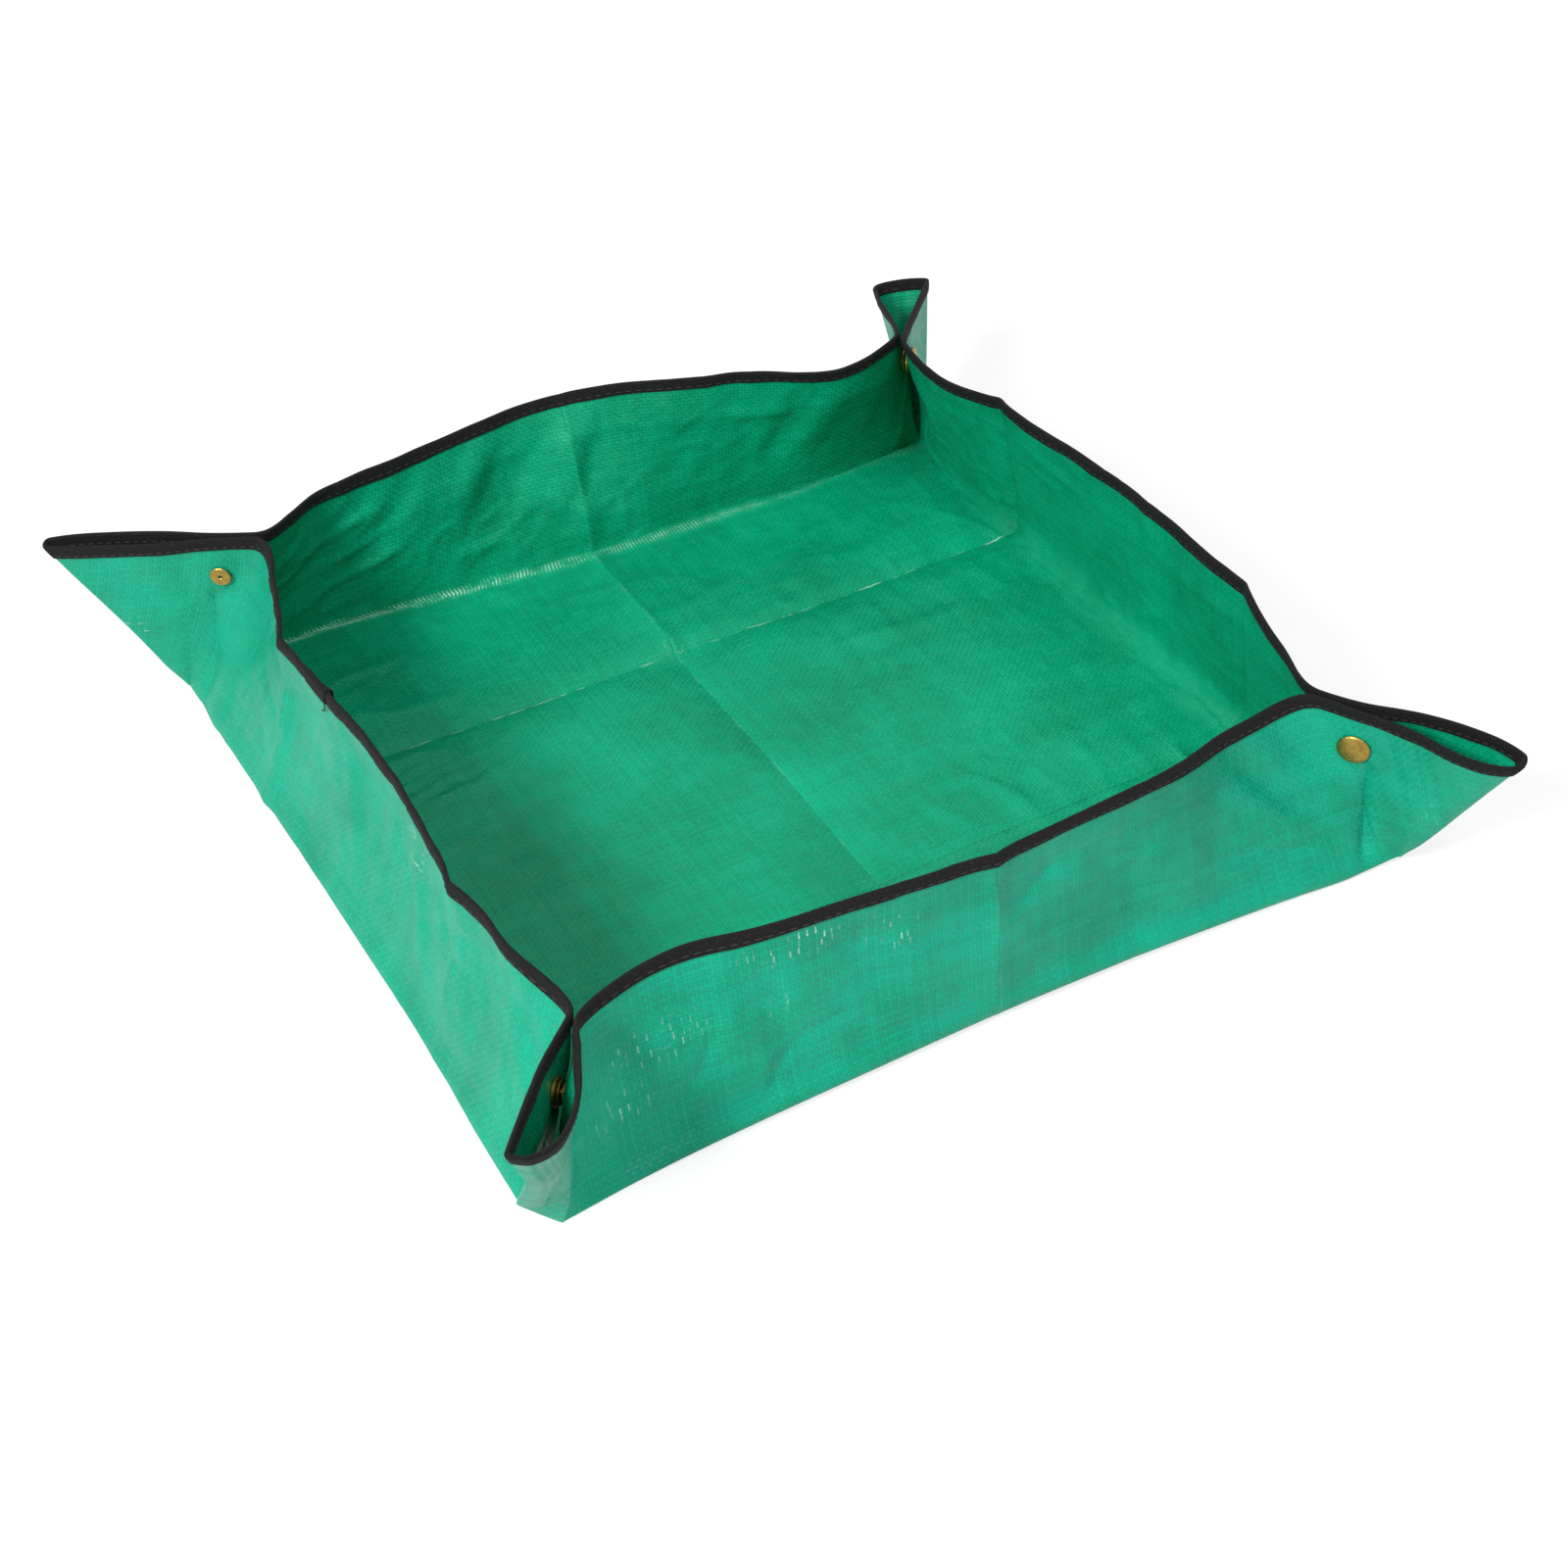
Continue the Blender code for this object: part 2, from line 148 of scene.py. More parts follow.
def wall_axes(wall):
    """Direction along the wall and direction out of the tray through it."""
    turn = WALLS.index(wall) * math.pi / 2
    along = np.array([round(math.cos(turn)), round(math.sin(turn)), 0.0])
    return along, np.cross(along, UP)


def wall_corners(wall):
    start = WALLS.index(wall)
    return CORNERS[start], CORNERS[(start + 1) % len(CORNERS)]


def corner_walls(corner):
    """The walls that start and end at the corner."""
    index = CORNERS.index(corner)
    return WALLS[index], WALLS[index - 1]


def floor_corner(corner):
    """The floor's corner, the diagonal out through it, and the level direction across it."""
    starting, ending = corner_walls(corner)
    diagonal = wall_axes(starting)[1] + wall_axes(ending)[1]
    foot = diagonal * HALF_FLOOR + UP * MID_HEIGHT
    outward = unit(diagonal)
    return foot, outward, np.cross(UP, outward)


def ear_line(corner):
    """The ends of an ear's rim, at the pinch and at the sheet's corner."""
    foot, outward, sideways = floor_corner(corner)
    inward_share, pinch_up_share = pinch_shares[corner]
    out_share, side_share, up_share = tip_shares[corner]
    pinch = foot + WALL_SLANT * (UP * pinch_up_share - outward * inward_share)
    tip = foot + WALL_SLANT * (outward * out_share + sideways * side_share + UP * up_share)
    return pinch, tip


def ear_normal(corner):
    """Normal of the ear's middle plane, towards the wall that ends at this corner."""
    foot = floor_corner(corner)[0]
    pinch, tip = ear_line(corner)
    return unit(np.cross(tip - foot, pinch - foot))


def ear_side(wall, end):
    """Direction from the ear's middle plane to this wall's own half."""
    normal = ear_normal(wall_corners(wall)[end])
    return normal if end else -normal


def keel_lead(corner):
    """Direction in the ear's middle plane that leads out across the keel."""
    foot = floor_corner(corner)[0]
    pinch, tip = ear_line(corner)
    keel = unit(tip - foot)
    reach = tip - pinch
    return unit(reach - keel * np.dot(reach, keel))


def ear_knots(wall, end):
    """Rim of one ear half without its flare: straight beside the middle plane, then round
    the keel."""
    corner = wall_corners(wall)[end]
    pinch, tip = ear_line(corner)
    side = ear_side(wall, end)
    run = (tip - pinch) / EAR_RIM
    offset = side * FOLD_HALF_GAP
    return [
        (PINCH_RIM, pinch + offset, run),
        (HALF_SHEET - KEEL_ROUND, tip + offset - run * KEEL_ROUND / 2, run),
        (HALF_SHEET, tip, -side),
    ]


def rim_knots(wall):
    """The wall's whole rim from tip to tip: places along the edge, points and runs."""
    along, out = wall_axes(wall)
    knots = [(-place, point, -run) for place, point, run in reversed(ear_knots(wall, 0))]
    first = len(knots)
    places = (-SHOULDER, -PACK_CREASE, 0.0, PACK_CREASE, SHOULDER)
    for place, draw_share, lean_share in zip(places, draw_in_shares, lean_shares[wall]):
        lean = WALL_SLANT * lean_share
        rise = math.sqrt(WALL_SLANT ** 2 - lean ** 2)
        point = along * place * draw_share + out * (HALF_FLOOR + lean) + UP * (MID_HEIGHT + rise)
        knots.append((place, point, None))
    knots += ear_knots(wall, 1)
    for index in range(first, first + len(places)):
        before, here, after = knots[index - 1:index + 2]
        gap_before = here[0] - before[0]
        gap_after = after[0] - here[0]
        slope_before = (here[1] - before[1]) / gap_before
        slope_after = (after[1] - here[1]) / gap_after
        run = (slope_before * gap_after + slope_after * gap_before) / (gap_before + gap_after)
        knots[index] = (here[0], here[1], run)
    return [np.array(column) for column in zip(*knots)]


KNOTS = {wall: rim_knots(wall) for wall in WALLS}


def cubic(s, span, start, start_run, stop, stop_run):
    """Cubic from start to stop as s goes from 0 to 1: they weigh 2s^3-3s^2+1 and 3s^2-2s^3,
    and the runs at them weigh s^3-2s^2+s and s^3-s^2 of the span."""
    return (
        start * (2 * s ** 3 - 3 * s ** 2 + 1)
        + start_run * span * (s ** 3 - 2 * s ** 2 + s)
        + stop * (3 * s ** 2 - 2 * s ** 3)
        + stop_run * span * (s ** 3 - s ** 2)
    )


def along_rim(wall, place):
    """Point of the rim, on a cubic between each two knots."""
    places, points, runs = KNOTS[wall]
    index = np.clip(np.searchsorted(places, place, side="right") - 1, 0, len(places) - 2)
    span = (places[index + 1] - places[index])[..., None]
    s = (place - places[index])[..., None] / span
    return cubic(s, span, points[index], runs[index], points[index + 1], runs[index + 1])


def ear_gap(wall, place, height):
    """The straight rulings close up towards the floor's corner; this keeps an ear half at the
    fold's half gap from its middle plane down to the keel and to the last few millimetres."""
    gap = np.zeros(place.shape + (3,))
    missing = (1 - height / WALL_SLANT) * ease(height, 0, 15 * MM)
    for end in (0, 1):
        reach = place if end else -place
        opening = np.clip((reach - HINGE_RIM) / TURN_RIM, 0, 1)
        closing = np.clip((reach - HALF_SHEET + KEEL_ROUND) / KEEL_ROUND, 0, 1)
        half_gap = FOLD_HALF_GAP * opening * np.sqrt(np.clip(1 - closing ** 2, 0, 1))
        gap += ear_side(wall, end) * (half_gap * missing)[..., None]
    return gap


def foot_reach(place):
    """How far along the crease a ruling's foot stands: ahead of the rim in proportion up to
    the shoulder, then on a cubic that slows to reach the floor's corner below the snap."""
    size = np.abs(place)
    lead = HALF_FLOOR / HINGE_RIM
    span = FAN_END - SHOULDER
    late = cubic(np.clip((size - SHOULDER) / span, 0, 1), span, SHOULDER * lead, lead,
                 HALF_FLOOR, 0.0)
    return np.sign(place) * np.where(size < SHOULDER, size * lead, late)


def hinge_place(height):
    """Place on an ear's hinge line, which runs straight on the flat sheet from the floor's
    corner to the rim; each ruling meets it at the height where their sideways places agree."""
    places = np.linspace(HINGE_RIM, FAN_END, 200)
    level = foot_reach(places)
    meets = WALL_SLANT * (HALF_FLOOR - level) / (places - level + HALF_FLOOR - HINGE_RIM)
    return np.interp(height, meets[::-1], places[::-1])


def ease(value, start, stop):
    """Zero before start, one after stop, and 3s^2-2s^3 between."""
    s = np.clip((value - start) / (stop - start), 0, 1)
    return s * s * (3 - 2 * s)


def smooth_table(shares, values, at):
    """Cubic through the values, each slope the mean of those beside it and level at zero."""
    shares, values = np.array(shares), np.array(values, float)
    slopes = np.diff(values) / np.diff(shares)
    inner = (slopes[1:] + slopes[:-1]) / 2
    runs = np.concatenate([[0.0], inner, [slopes[-1] * 1.6]])
    index = np.clip(np.searchsorted(shares, at, side="right") - 1, 0, len(shares) - 2)
    span = shares[index + 1] - shares[index]
    s = np.clip((at - shares[index]) / span, 0, 1)
    return cubic(s, span, values[index], runs[index], values[index + 1], runs[index + 1])


def ear_flare(wall, place, height):
    """An ear half's move away from its middle plane.  Beside the snap only the cloth above it
    flares; further out the flare grows evenly from the floor's corner to the rim."""
    flare = np.zeros(place.shape + (3,))
    for end in (0, 1):
        reach = place if end else -place
        share = (reach - PINCH_RIM) / EAR_RIM
        at_rim = smooth_table(FLARE_SHARES, flares[wall][end], np.clip(share, 0, 1)) * MM
        at_rim = np.where(share > 0, at_rim, 0.0)
        above_snap = ease(height, WALL_SLANT - FLARE_DEPTH, WALL_SLANT)
        even = np.clip(height / WALL_SLANT, 0, 1.1)
        open_share = ease(share, 0.2, 0.45)
        grown = above_snap * (1 - open_share) + even * open_share
        flare += ear_side(wall, end) * (at_rim * grown)[..., None]
        corner = wall_corners(wall)[end]
        if corner == "back_right":
            off = ((reach - POCKET_PLACE[0]) / POCKET_PLACE[1]) ** 2
            off += ((height - POCKET_HEIGHT[0]) / POCKET_HEIGHT[1]) ** 2
            flare += ear_side(wall, end) * (POCKET[wall] * np.exp(-off))[..., None]
        keel_share = ease(reach, PINCH_RIM, HALF_SHEET)
        level = np.clip(height / WALL_SLANT, 0, 1)
        sag = KEEL_SAG[corner] * MM * 4 * level * (1 - level) * keel_share
        flare += keel_lead(corner) * sag[..., None]
    return flare


def soft_step(distance, half):
    """Zero below -half, the distance itself above half, and a parabola between them."""
    middle = (distance + half) ** 2 / (4 * half)
    return np.where(distance < -half, 0.0, np.where(distance > half, distance, middle))


def folded(wall, place, height):
    """Smooth form of the sheet.  The floor runs out to the bend and the wall runs straight
    from there to the rim; both lengths pass through soft_step, which rounds the bend."""
    along, out = wall_axes(wall)
    reach = foot_reach(place)
    share = (reach / HALF_FLOOR)[..., None]
    half = CORNER_BEND + (BASE_BEND[wall] - CORNER_BEND) * (1 - np.abs(share[..., 0]) ** 4)
    shift = np.interp(reach, np.array(BEND_PLACES) * MM, np.array(BEND_SHIFTS[wall]) * MM)
    across_floor = along * share + out
    foot = across_floor * (HALF_FLOOR + shift)[..., None] + UP * MID_HEIGHT
    up_wall = (along_rim(wall, place) - foot) / (WALL_SLANT - shift)[..., None]
    rise = soft_step(height - shift, half)[..., None]
    back = soft_step(shift - height, half)[..., None]
    beside = ear_gap(wall, place, height) + ear_flare(wall, place, height)
    return foot + up_wall * rise - across_floor * back + beside


def flat_place(wall, place, height):
    """Where a point of the folded sheet lies on the flat sheet, from its middle."""
    along, out = wall_axes(wall)
    level = foot_reach(place)
    fan = level + (place - level) * height / WALL_SLANT
    sideways = np.where(height > 0, fan, level * (1 + height / HALF_FLOOR))
    spot = along * sideways[..., None] + out * (HALF_FLOOR + height)[..., None]
    return spot[..., 0], spot[..., 1]


# How far the left wall stands out past its crease, at these places along y.  It grows from
# nothing over STAND_START at the front corner, and is gone at the height STAND_TOP
STAND_PLACES = np.array([-173, -159, -120, -83, 0, 83, 140, 173, 190]) * MM
STAND_OUT = np.array([0, 11, 11, 9.5, 9.5, 10.5, 11, 8, 0]) * MM
STAND_START = 14 * MM
STAND_TOP = 54 * MM


def stand_out(points):
    """How far each point moves out with the left wall: the table's distance, less on the
    floor towards its middle and less with the height."""
    x, y, z = points[..., 0], points[..., 1], points[..., 2]
    amount = np.interp(y, STAND_PLACES, STAND_OUT)
    off_corner = np.linalg.norm(points - floor_corner("front_left")[0], axis=-1) / STAND_START
    amount = np.where(y < -HALF_FLOOR + STAND_START,
                      STAND_OUT[1] * np.clip(off_corner, 0, 1), amount)
    return amount * ease(-x, 70 * MM, 170 * MM) * np.clip(1 - z / STAND_TOP, 0, 1) ** 1.2


KEEL_BACK = 13 / 11         # the near ear's keel goes back by this share of what it goes out
TIP_SHIFT = np.array([6.4, -2.1, 2.0]) * MM     # how far the near ear's tip has swung
CORNER_LIFT = 2.5 * MM      # the front right corner of the floor stands off the table,
CORNER_WIDE = 15 * MM       # as exp(-(distance/CORNER_WIDE)^2)


def tip_shift(wall, place, height):
    """The near ear's outer part, swung to one side more and more from the snap to the tip."""
    reach = -place if wall == "front" else place
    swung = ease(reach, PINCH_RIM + 22 * MM, HALF_SHEET + 20 * MM) / 0.87
    swung = swung * np.clip(height / WALL_SLANT, 0, 1)
    return TIP_SHIFT * (swung if wall in ("front", "left") else 0 * swung)[..., None]


def settle(points, wall=None, place=None):
    """How this mat sits.  The left wall stands out; at the front left corner it takes the
    ear's keel with it, which leaves a narrow facet between the keel and the front wall."""
    off = np.linalg.norm(points - floor_corner("front_right")[0], axis=-1) / CORNER_WIDE
    points = points + UP * (CORNER_LIFT * np.exp(-off ** 2))[..., None]
    amount = stand_out(points)
    back = np.zeros_like(amount)
    if wall == "front":
        amount = amount * np.clip((-place - 205 * MM) / (45 * MM), 0, 1)
        back = amount * KEEL_BACK
    if wall == "left":
        back = amount * KEEL_BACK * np.where(place > 0, ease(place, HINGE_RIM, 235 * MM), 0.0)
    if wall in ("right", "back"):
        amount = amount * np.where((wall == "back") & (place > 0), 1.0, 0.0)
    return points + np.stack([-amount, back, np.zeros_like(amount)], -1)


def lattice_noise(u, v, cell, seed):
    """Random numbers on a square lattice, joined both ways by 6s^5-15s^4+10s^3."""
    table = np.random.default_rng(seed).uniform(-1, 1, (128, 128))
    x, y = u / cell + 64, v / cell + 64
    i, j = np.floor(x).astype(int), np.floor(y).astype(int)
    s, t = (a ** 3 * (6 * a ** 2 - 15 * a + 10) for a in (x - i, y - j))
    low, high = (table[i % 128, row % 128] * (1 - s) + table[(i + 1) % 128, row % 128] * s
                 for row in (j, j + 1))
    return low * (1 - t) + high * t


def fold_line(distance, width):
    """A packing crease: a cusp that dies away on both sides as exp(-distance/width)."""
    return np.exp(-np.abs(distance) / width)


# Where the flat sheet has gathered wrinkles: middle, half widths, wrinkle spacing, strength
GATHERS = (
    (-118, 52, 46, 28, 9.0, 1.0), (70, -95, 60, 30, 11.0, 0.5), (-40, -128, 60, 24, 10.0, 0.3),
    (40, 100, 70, 40, 16.0, 0.5), (-120, 215, 60, 30, 13.0, 0.8), (235, 60, 20, 60, 12.0, 0.5),
    (-225, -60, 22, 60, 14.0, 0.6),
)


def gathered(u, v):
    """Patches of wrinkles that run side by side: a sine across them whose phase wanders with
    the noise, raised to sharpen its crests, inside an oval that fades out."""
    total = np.zeros_like(u)
    for middle_u, middle_v, half_u, half_v, spacing, strength in GATHERS:
        du, dv = (u - middle_u * MM) / (half_u * MM), (v - middle_v * MM) / (half_v * MM)
        inside = 1 - ease(np.hypot(du, dv), 0.35, 1.0)
        wander = lattice_noise(u, v, 24 * MM, 31) * 3.2 + lattice_noise(u, v, 11 * MM, 32) * 1.1
        across = (v - 0.35 * u) if half_u > half_v else (u - 0.3 * v)
        wave = 0.5 + 0.5 * np.sin(2 * math.pi * across / (spacing * MM) + wander)
        uneven = 0.6 + 0.4 * lattice_noise(u, v, 17 * MM, 33)
        total += strength * inside * uneven * wave ** 3
    return total


def relief(u, v):
    """Height of the creases, billows and crumples over the flat sheet: noise of several cell
    sizes, the finer ones only in patches, and the creases where the mat was packed, folded
    once across and in three the other way.  The crease across is a valley that turns into a
    ridge behind the rear one of the other two."""
    billow = 1.3 * MM * (1 + lattice_noise(u, v, 75 * MM, 3))
    ridges = (1 - np.abs(lattice_noise(u + 0.4 * v, v, 30 * MM, 11))) ** 3
    small = (1 - np.abs(lattice_noise(u, v - 0.5 * u, 13 * MM, 17))) ** 3
    patch = ease(lattice_noise(u, v, 62 * MM, 5), -0.35, 0.5)
    fine = 0.12 * MM * lattice_noise(u, v, 7 * MM, 8)
    turned = 1 - 2.7 * ease(v, PACK_CREASE - 6 * MM, PACK_CREASE + 6 * MM)
    folds = turned * (0.85 * fold_line(u, 14 * MM) + 0.42 * fold_line(u, 4 * MM))
    folds += 0.9 * fold_line(v - PACK_CREASE, 11 * MM) + 0.6 * fold_line(v - PACK_CREASE, 3.5 * MM)
    folds += 0.8 * fold_line(v + PACK_CREASE, 10 * MM)
    crumple = (1.5 * MM * ridges + 0.6 * MM * small) * patch
    crumple += 1.9 * MM * gathered(u, v)
    return 2.0 * MM + billow + crumple + fine - 2.0 * MM * np.clip(folds, -2.3, 1.4)


# How high the walls' puckers are, in millimetres
PUCKER = {"front": 2.2, "right": 1.4, "back": 2.4, "left": 2.8}


def wall_relief(wall, place, height):
    """More height on a wall: puckers that grow towards the bound edge, which is a little
    shorter than the cloth, and the packing creases, which push the rim outwards."""
    seed = 40 + WALLS.index(wall)
    pucker = lattice_noise(place, height * 0.25, 26 * MM, seed)
    pucker += 0.6 * lattice_noise(place + 0.5 * height, height * 0.3, 12 * MM, seed + 10)
    grows = ease(height, 2 * MM, 45 * MM)
    inside_wall = 1 - ease(np.abs(place), SHOULDER, PINCH_RIM)
    grows = grows * (1 - 0.8 * ease(height, 50 * MM, WALL_SLANT))
    lift = PUCKER[wall] * MM * pucker * grows * (0.2 + 0.8 * inside_wall)
    if wall == "front":
        creases = fold_line(place, 14 * MM)
    elif wall == "back":
        creases = 2.5 * np.exp(-(place / (36 * MM)) ** 2)
    else:
        creases = fold_line(place - PACK_CREASE, 13 * MM) + fold_line(place + PACK_CREASE, 13 * MM)
    return lift - 2.6 * MM * creases * ease(height, 0, 80 * MM)


# How deep the crease that runs down from each snap is, at the wall's start and at its end
SNAP_CREASE = {"front": (0.0, 8.0), "right": (2.0, 2.0), "back": (2.0, 2.0), "left": (4.5, 2.0)}
CREASE_FOOT = 157 * MM      # where it meets the base crease, sideways from the wall's middle
CREASE_LEAN = 17 * MM       # how much further out it is at the snap


def snap_crease(wall, place, height):
    """Crease along the flat sheet's line from below the snap down to the base crease.  The
    cloth stands out on both sides of it, as the difference of a narrow and a wide cusp."""
    level = foot_reach(place)
    sideways = np.abs(level + (place - level) * height / WALL_SLANT)
    top = WALL_SLANT - SNAP_DROP
    line = CREASE_FOOT + CREASE_LEAN * height / top
    off = np.abs(sideways - line)
    depth = np.where(place > 0, SNAP_CREASE[wall][1], SNAP_CREASE[wall][0]) * MM
    deep = depth * ease(height, -2 * MM, 9 * MM) * (1 - ease(height, 38 * MM, top - 3 * MM))
    narrow = np.minimum(depth, 0.7 * MM) * ease(height, 0, 8 * MM)
    narrow = narrow * (1 - ease(height, top - 10 * MM, top))
    broad = np.exp(-off / (8 * MM)) - np.exp(-off / (20 * MM))
    return deep * broad + narrow * np.exp(-off / (2 * MM))


def facet_dent(wall, place, height):
    """The near ear's facet is creased in a V: a valley whose two arms meet at its foot."""
    if wall != "front":
        return np.zeros_like(height)
    middle = -229 * MM
    arm = np.abs(np.abs(place - middle) - 0.18 * np.clip(height - 12 * MM, 0, None))
    fades = ease(height, 8 * MM, 16 * MM) * (1 - ease(height, 30 * MM, 50 * MM))
    return 1.5 * MM * np.exp(-arm / (4 * MM)) * fades * ease(-place, 205 * MM, 215 * MM)


def keel_fade(u, v):
    """Zero along the ears' outer folds and at the floor's corners, one 20 mm from them."""
    du, dv = np.abs(u) - HALF_FLOOR, np.abs(v) - HALF_FLOOR
    far = np.where(du + dv > 0, np.abs(du - dv) / math.sqrt(2), np.hypot(du, dv))
    return ease(far, 0, 20 * MM)


def cross_normal(spot, a, b, step=0.2 * MM):
    """Normal of the surface spot(a, b), from the cross product of its two differences."""
    da = spot(a + step, b) - spot(a - step, b)
    db = spot(a, b + step) - spot(a, b - step)
    return unit(np.cross(da, db))


def snap_calm(place, height):
    """Zero at the snap, where the cloth is held flat between its halves, and one 16 mm away."""
    along = np.abs(place) - PINCH_RIM - SNAP_OUT
    down = WALL_SLANT - SNAP_DROP - height
    return ease(np.sqrt(along ** 2 + down ** 2), 6 * MM, 16 * MM)


def inside_fan(place, height):
    """On the floor the surface stands still past the ruling of the floor's corner, so its
    normal is taken 1 mm inside that ruling."""
    limit = FAN_END - 1 * MM
    return np.where(height > 0, place, np.clip(place, -limit, limit))


def cloth(wall, place, height):
    """The folded sheet moved along its own normal by the relief, then settled."""
    place = np.clip(place, -HALF_SHEET, HALF_SHEET)

    def smooth(a, b):
        return folded(wall, np.clip(a, -HALF_SHEET, HALF_SHEET), b)

    inward = -cross_normal(smooth, inside_fan(place, height), height)
    u, v = flat_place(wall, place, height)
    near_rim = np.clip((WALL_SLANT - height) / (20 * MM), 0, 1)
    inside_wall = 1 - ease(np.abs(place), SHOULDER, PINCH_RIM)
    off_crease = ease(np.abs(height), 0, 13 * MM)
    least = {"front": 0.0, "left": 0.35, "right": 1.0, "back": 0.8}[wall]
    off_crease = least + (1 - least) * off_crease
    beside_ears = 1 - 0.65 * (1 - inside_wall) * ease(height, 0, 20 * MM)
    lift = relief(u, v) * (0.3 + 0.7 * near_rim) * beside_ears * off_crease
    lift = (lift + wall_relief(wall, place, height)) * snap_calm(place, height)
    lift = (lift + snap_crease(wall, place, height)) * keel_fade(u, v)
    lift = lift + facet_dent(wall, place, height)
    moved = smooth(place, height) + inward * lift[..., None] + tip_shift(wall, place, height)
    return settle(moved, wall, place)


def cloth_normal(wall, place, height):
    """Direction out of the tray from the finished cloth."""
    return cross_normal(lambda a, b: cloth(wall, a, b), inside_fan(place, height), height)


def floor_cloth(x, y):
    """The flat of the sheet, lifted by the relief and settled."""
    return settle(np.stack([x, y, MID_HEIGHT + relief(x, y) * keel_fade(x, y)], -1))


def grid_faces(columns, rows, wrap_rows=False):
    """Quads of a grid whose vertex number is column * rows + row."""
    last = rows if wrap_rows else rows - 1
    i, j = np.meshgrid(np.arange(columns - 1), np.arange(last), indexing="ij")
    here, there = i.ravel() * rows, (i.ravel() + 1) * rows
    j = j.ravel()
    k = (j + 1) % rows
    return np.stack([here + j, there + j, there + k, here + k], 1)


def make_piece(name, points, faces, material, uv=None, sharp_degrees=40):
    """A smooth mesh object at the origin, from arrays of points and quads."""
    mesh = bpy.data.meshes.new(name)
    mesh.from_pydata(points, [], faces, shade_flat=False)
    mesh.validate()
    if uv is not None:
        layer = mesh.uv_layers.new(name="sheet")
        layer.data.foreach_set("uv", uv[faces.ravel()].astype(np.float32).ravel())
    mesh.set_sharp_from_angle(angle=math.radians(sharp_degrees))
    mesh.materials.append(material)
    piece = bpy.data.objects.new(name, mesh)
    bpy.context.scene.collection.objects.link(piece)
    return piece


def make_shell(name, middle, normal, flat, material):
    """Cloth of the sheet's thickness: the middle grid moved half of it either way along its
    normal, which points out of the tray, with a strip of quads that closes the border."""
    columns, rows = middle.shape[:2]
    outer = (middle + normal * SHEET_THICK / 2).reshape(-1, 3)
    inner = (middle - normal * SHEET_THICK / 2).reshape(-1, 3)
    count = columns * rows
    front = grid_faces(columns, rows)
    back = front[:, ::-1] + count
    low = np.arange(columns) * rows
    left = np.arange(rows)
    ring = np.concatenate([low, low[-1] + left[1:], (low + rows - 1)[::-1][1:], left[::-1][1:-1]])
    ahead = np.roll(ring, -1)
    border = np.stack([ring, ring + count, ahead + count, ahead], 1)
    u, v = flat
    uv = np.stack([u.ravel(), v.ravel()], 1) / SHEET_SIDE + 0.5
    faces = np.concatenate([front, back, border])
    piece = make_piece(name, np.concatenate([outer, inner]), faces, material, np.tile(uv, (2, 1)))
    inner_face = piece.data.attributes.new("inner_face", "FLOAT", "POINT")
    inner_face.data.foreach_set("value", np.repeat([0.0, 1.0], count).astype(np.float32))
    return piece


def spread(start, stop, step, crowd=0.0):
    """Places from start to stop, closer together at both ends as crowd goes to 1."""
    count = max(2, int(round(abs(stop - start) / step)))
    s = np.linspace(-1, 1, count + count % 2 + 1)
    s = (1 - crowd) * s + crowd * np.sin(s * math.pi / 2)
    return (start + stop) / 2 + (stop - start) / 2 * s


def linear(hex_colour):
    """Linear RGBA of an sRGB hex colour."""
    parts = [int(hex_colour[i:i + 2], 16) / 255 for i in (1, 3, 5)]
    parts = [c / 12.92 if c <= 0.04045 else ((c + 0.055) / 1.055) ** 2.4 for c in parts]
    return (*parts, 1.0)


def set_inputs(tree, node, inputs):
    """Sets each of the node's inputs to a value or links it to an output, which is a node's
    first one where only the node is given."""
    for key, value in inputs.items():
        socket = node.inputs[key.replace("__", " ") if isinstance(key, str) else key]
        if isinstance(value, bpy.types.Node):
            value = value.outputs[0]
        if isinstance(value, bpy.types.NodeSocket):
            tree.links.new(value, socket)
        else:
            socket.default_value = value
    return node


def add_node(tree, kind, *values, **more):
    """A node with its settings, whose names have small letters, and its inputs: the values in
    their order, and those given by name, or by number after an underscore."""
    node = tree.nodes.new("ShaderNode" + kind)
    inputs = dict(enumerate(values))
    for key, value in more.items():
        if key[0].islower():
            setattr(node, key, value)
        else:
            inputs[int(key[1:]) if key[0] == "_" else key] = value
    return set_inputs(tree, node, inputs)


def new_material(name):
    material = bpy.data.materials.new(name)
    material.use_nodes = True
    return material, material.node_tree


def finish(material, **inputs):
    """Sets and links the sockets of the material's own shader."""
    tree = material.node_tree
    set_inputs(tree, tree.nodes["Principled BSDF"], inputs)
    return material


WAVE = math.pi / 10         # a wave texture's scale times its pitch

# Where the mat was packed: axis across the crease, its place, and how strong the painted highlight
# along it is
PACKING = (("X", 0.0, 0.06), ("Y", PACK_CREASE, 0.5), ("Y", -PACK_CREASE, 0.0))
# Patches of painted glint dashes: middle and half widths on the flat sheet, in millimetres
GLINT_PATCHES = ((-73, -238, 30, 8), (-128, -219, 22, 11), (-144, -200, 20, 9), (-75, -215, 16, 7),
          (-40, -228, 14, 9), (200, -205, 9, 12), (-205, 205, 9, 12), (-232, -40, 12, 26))


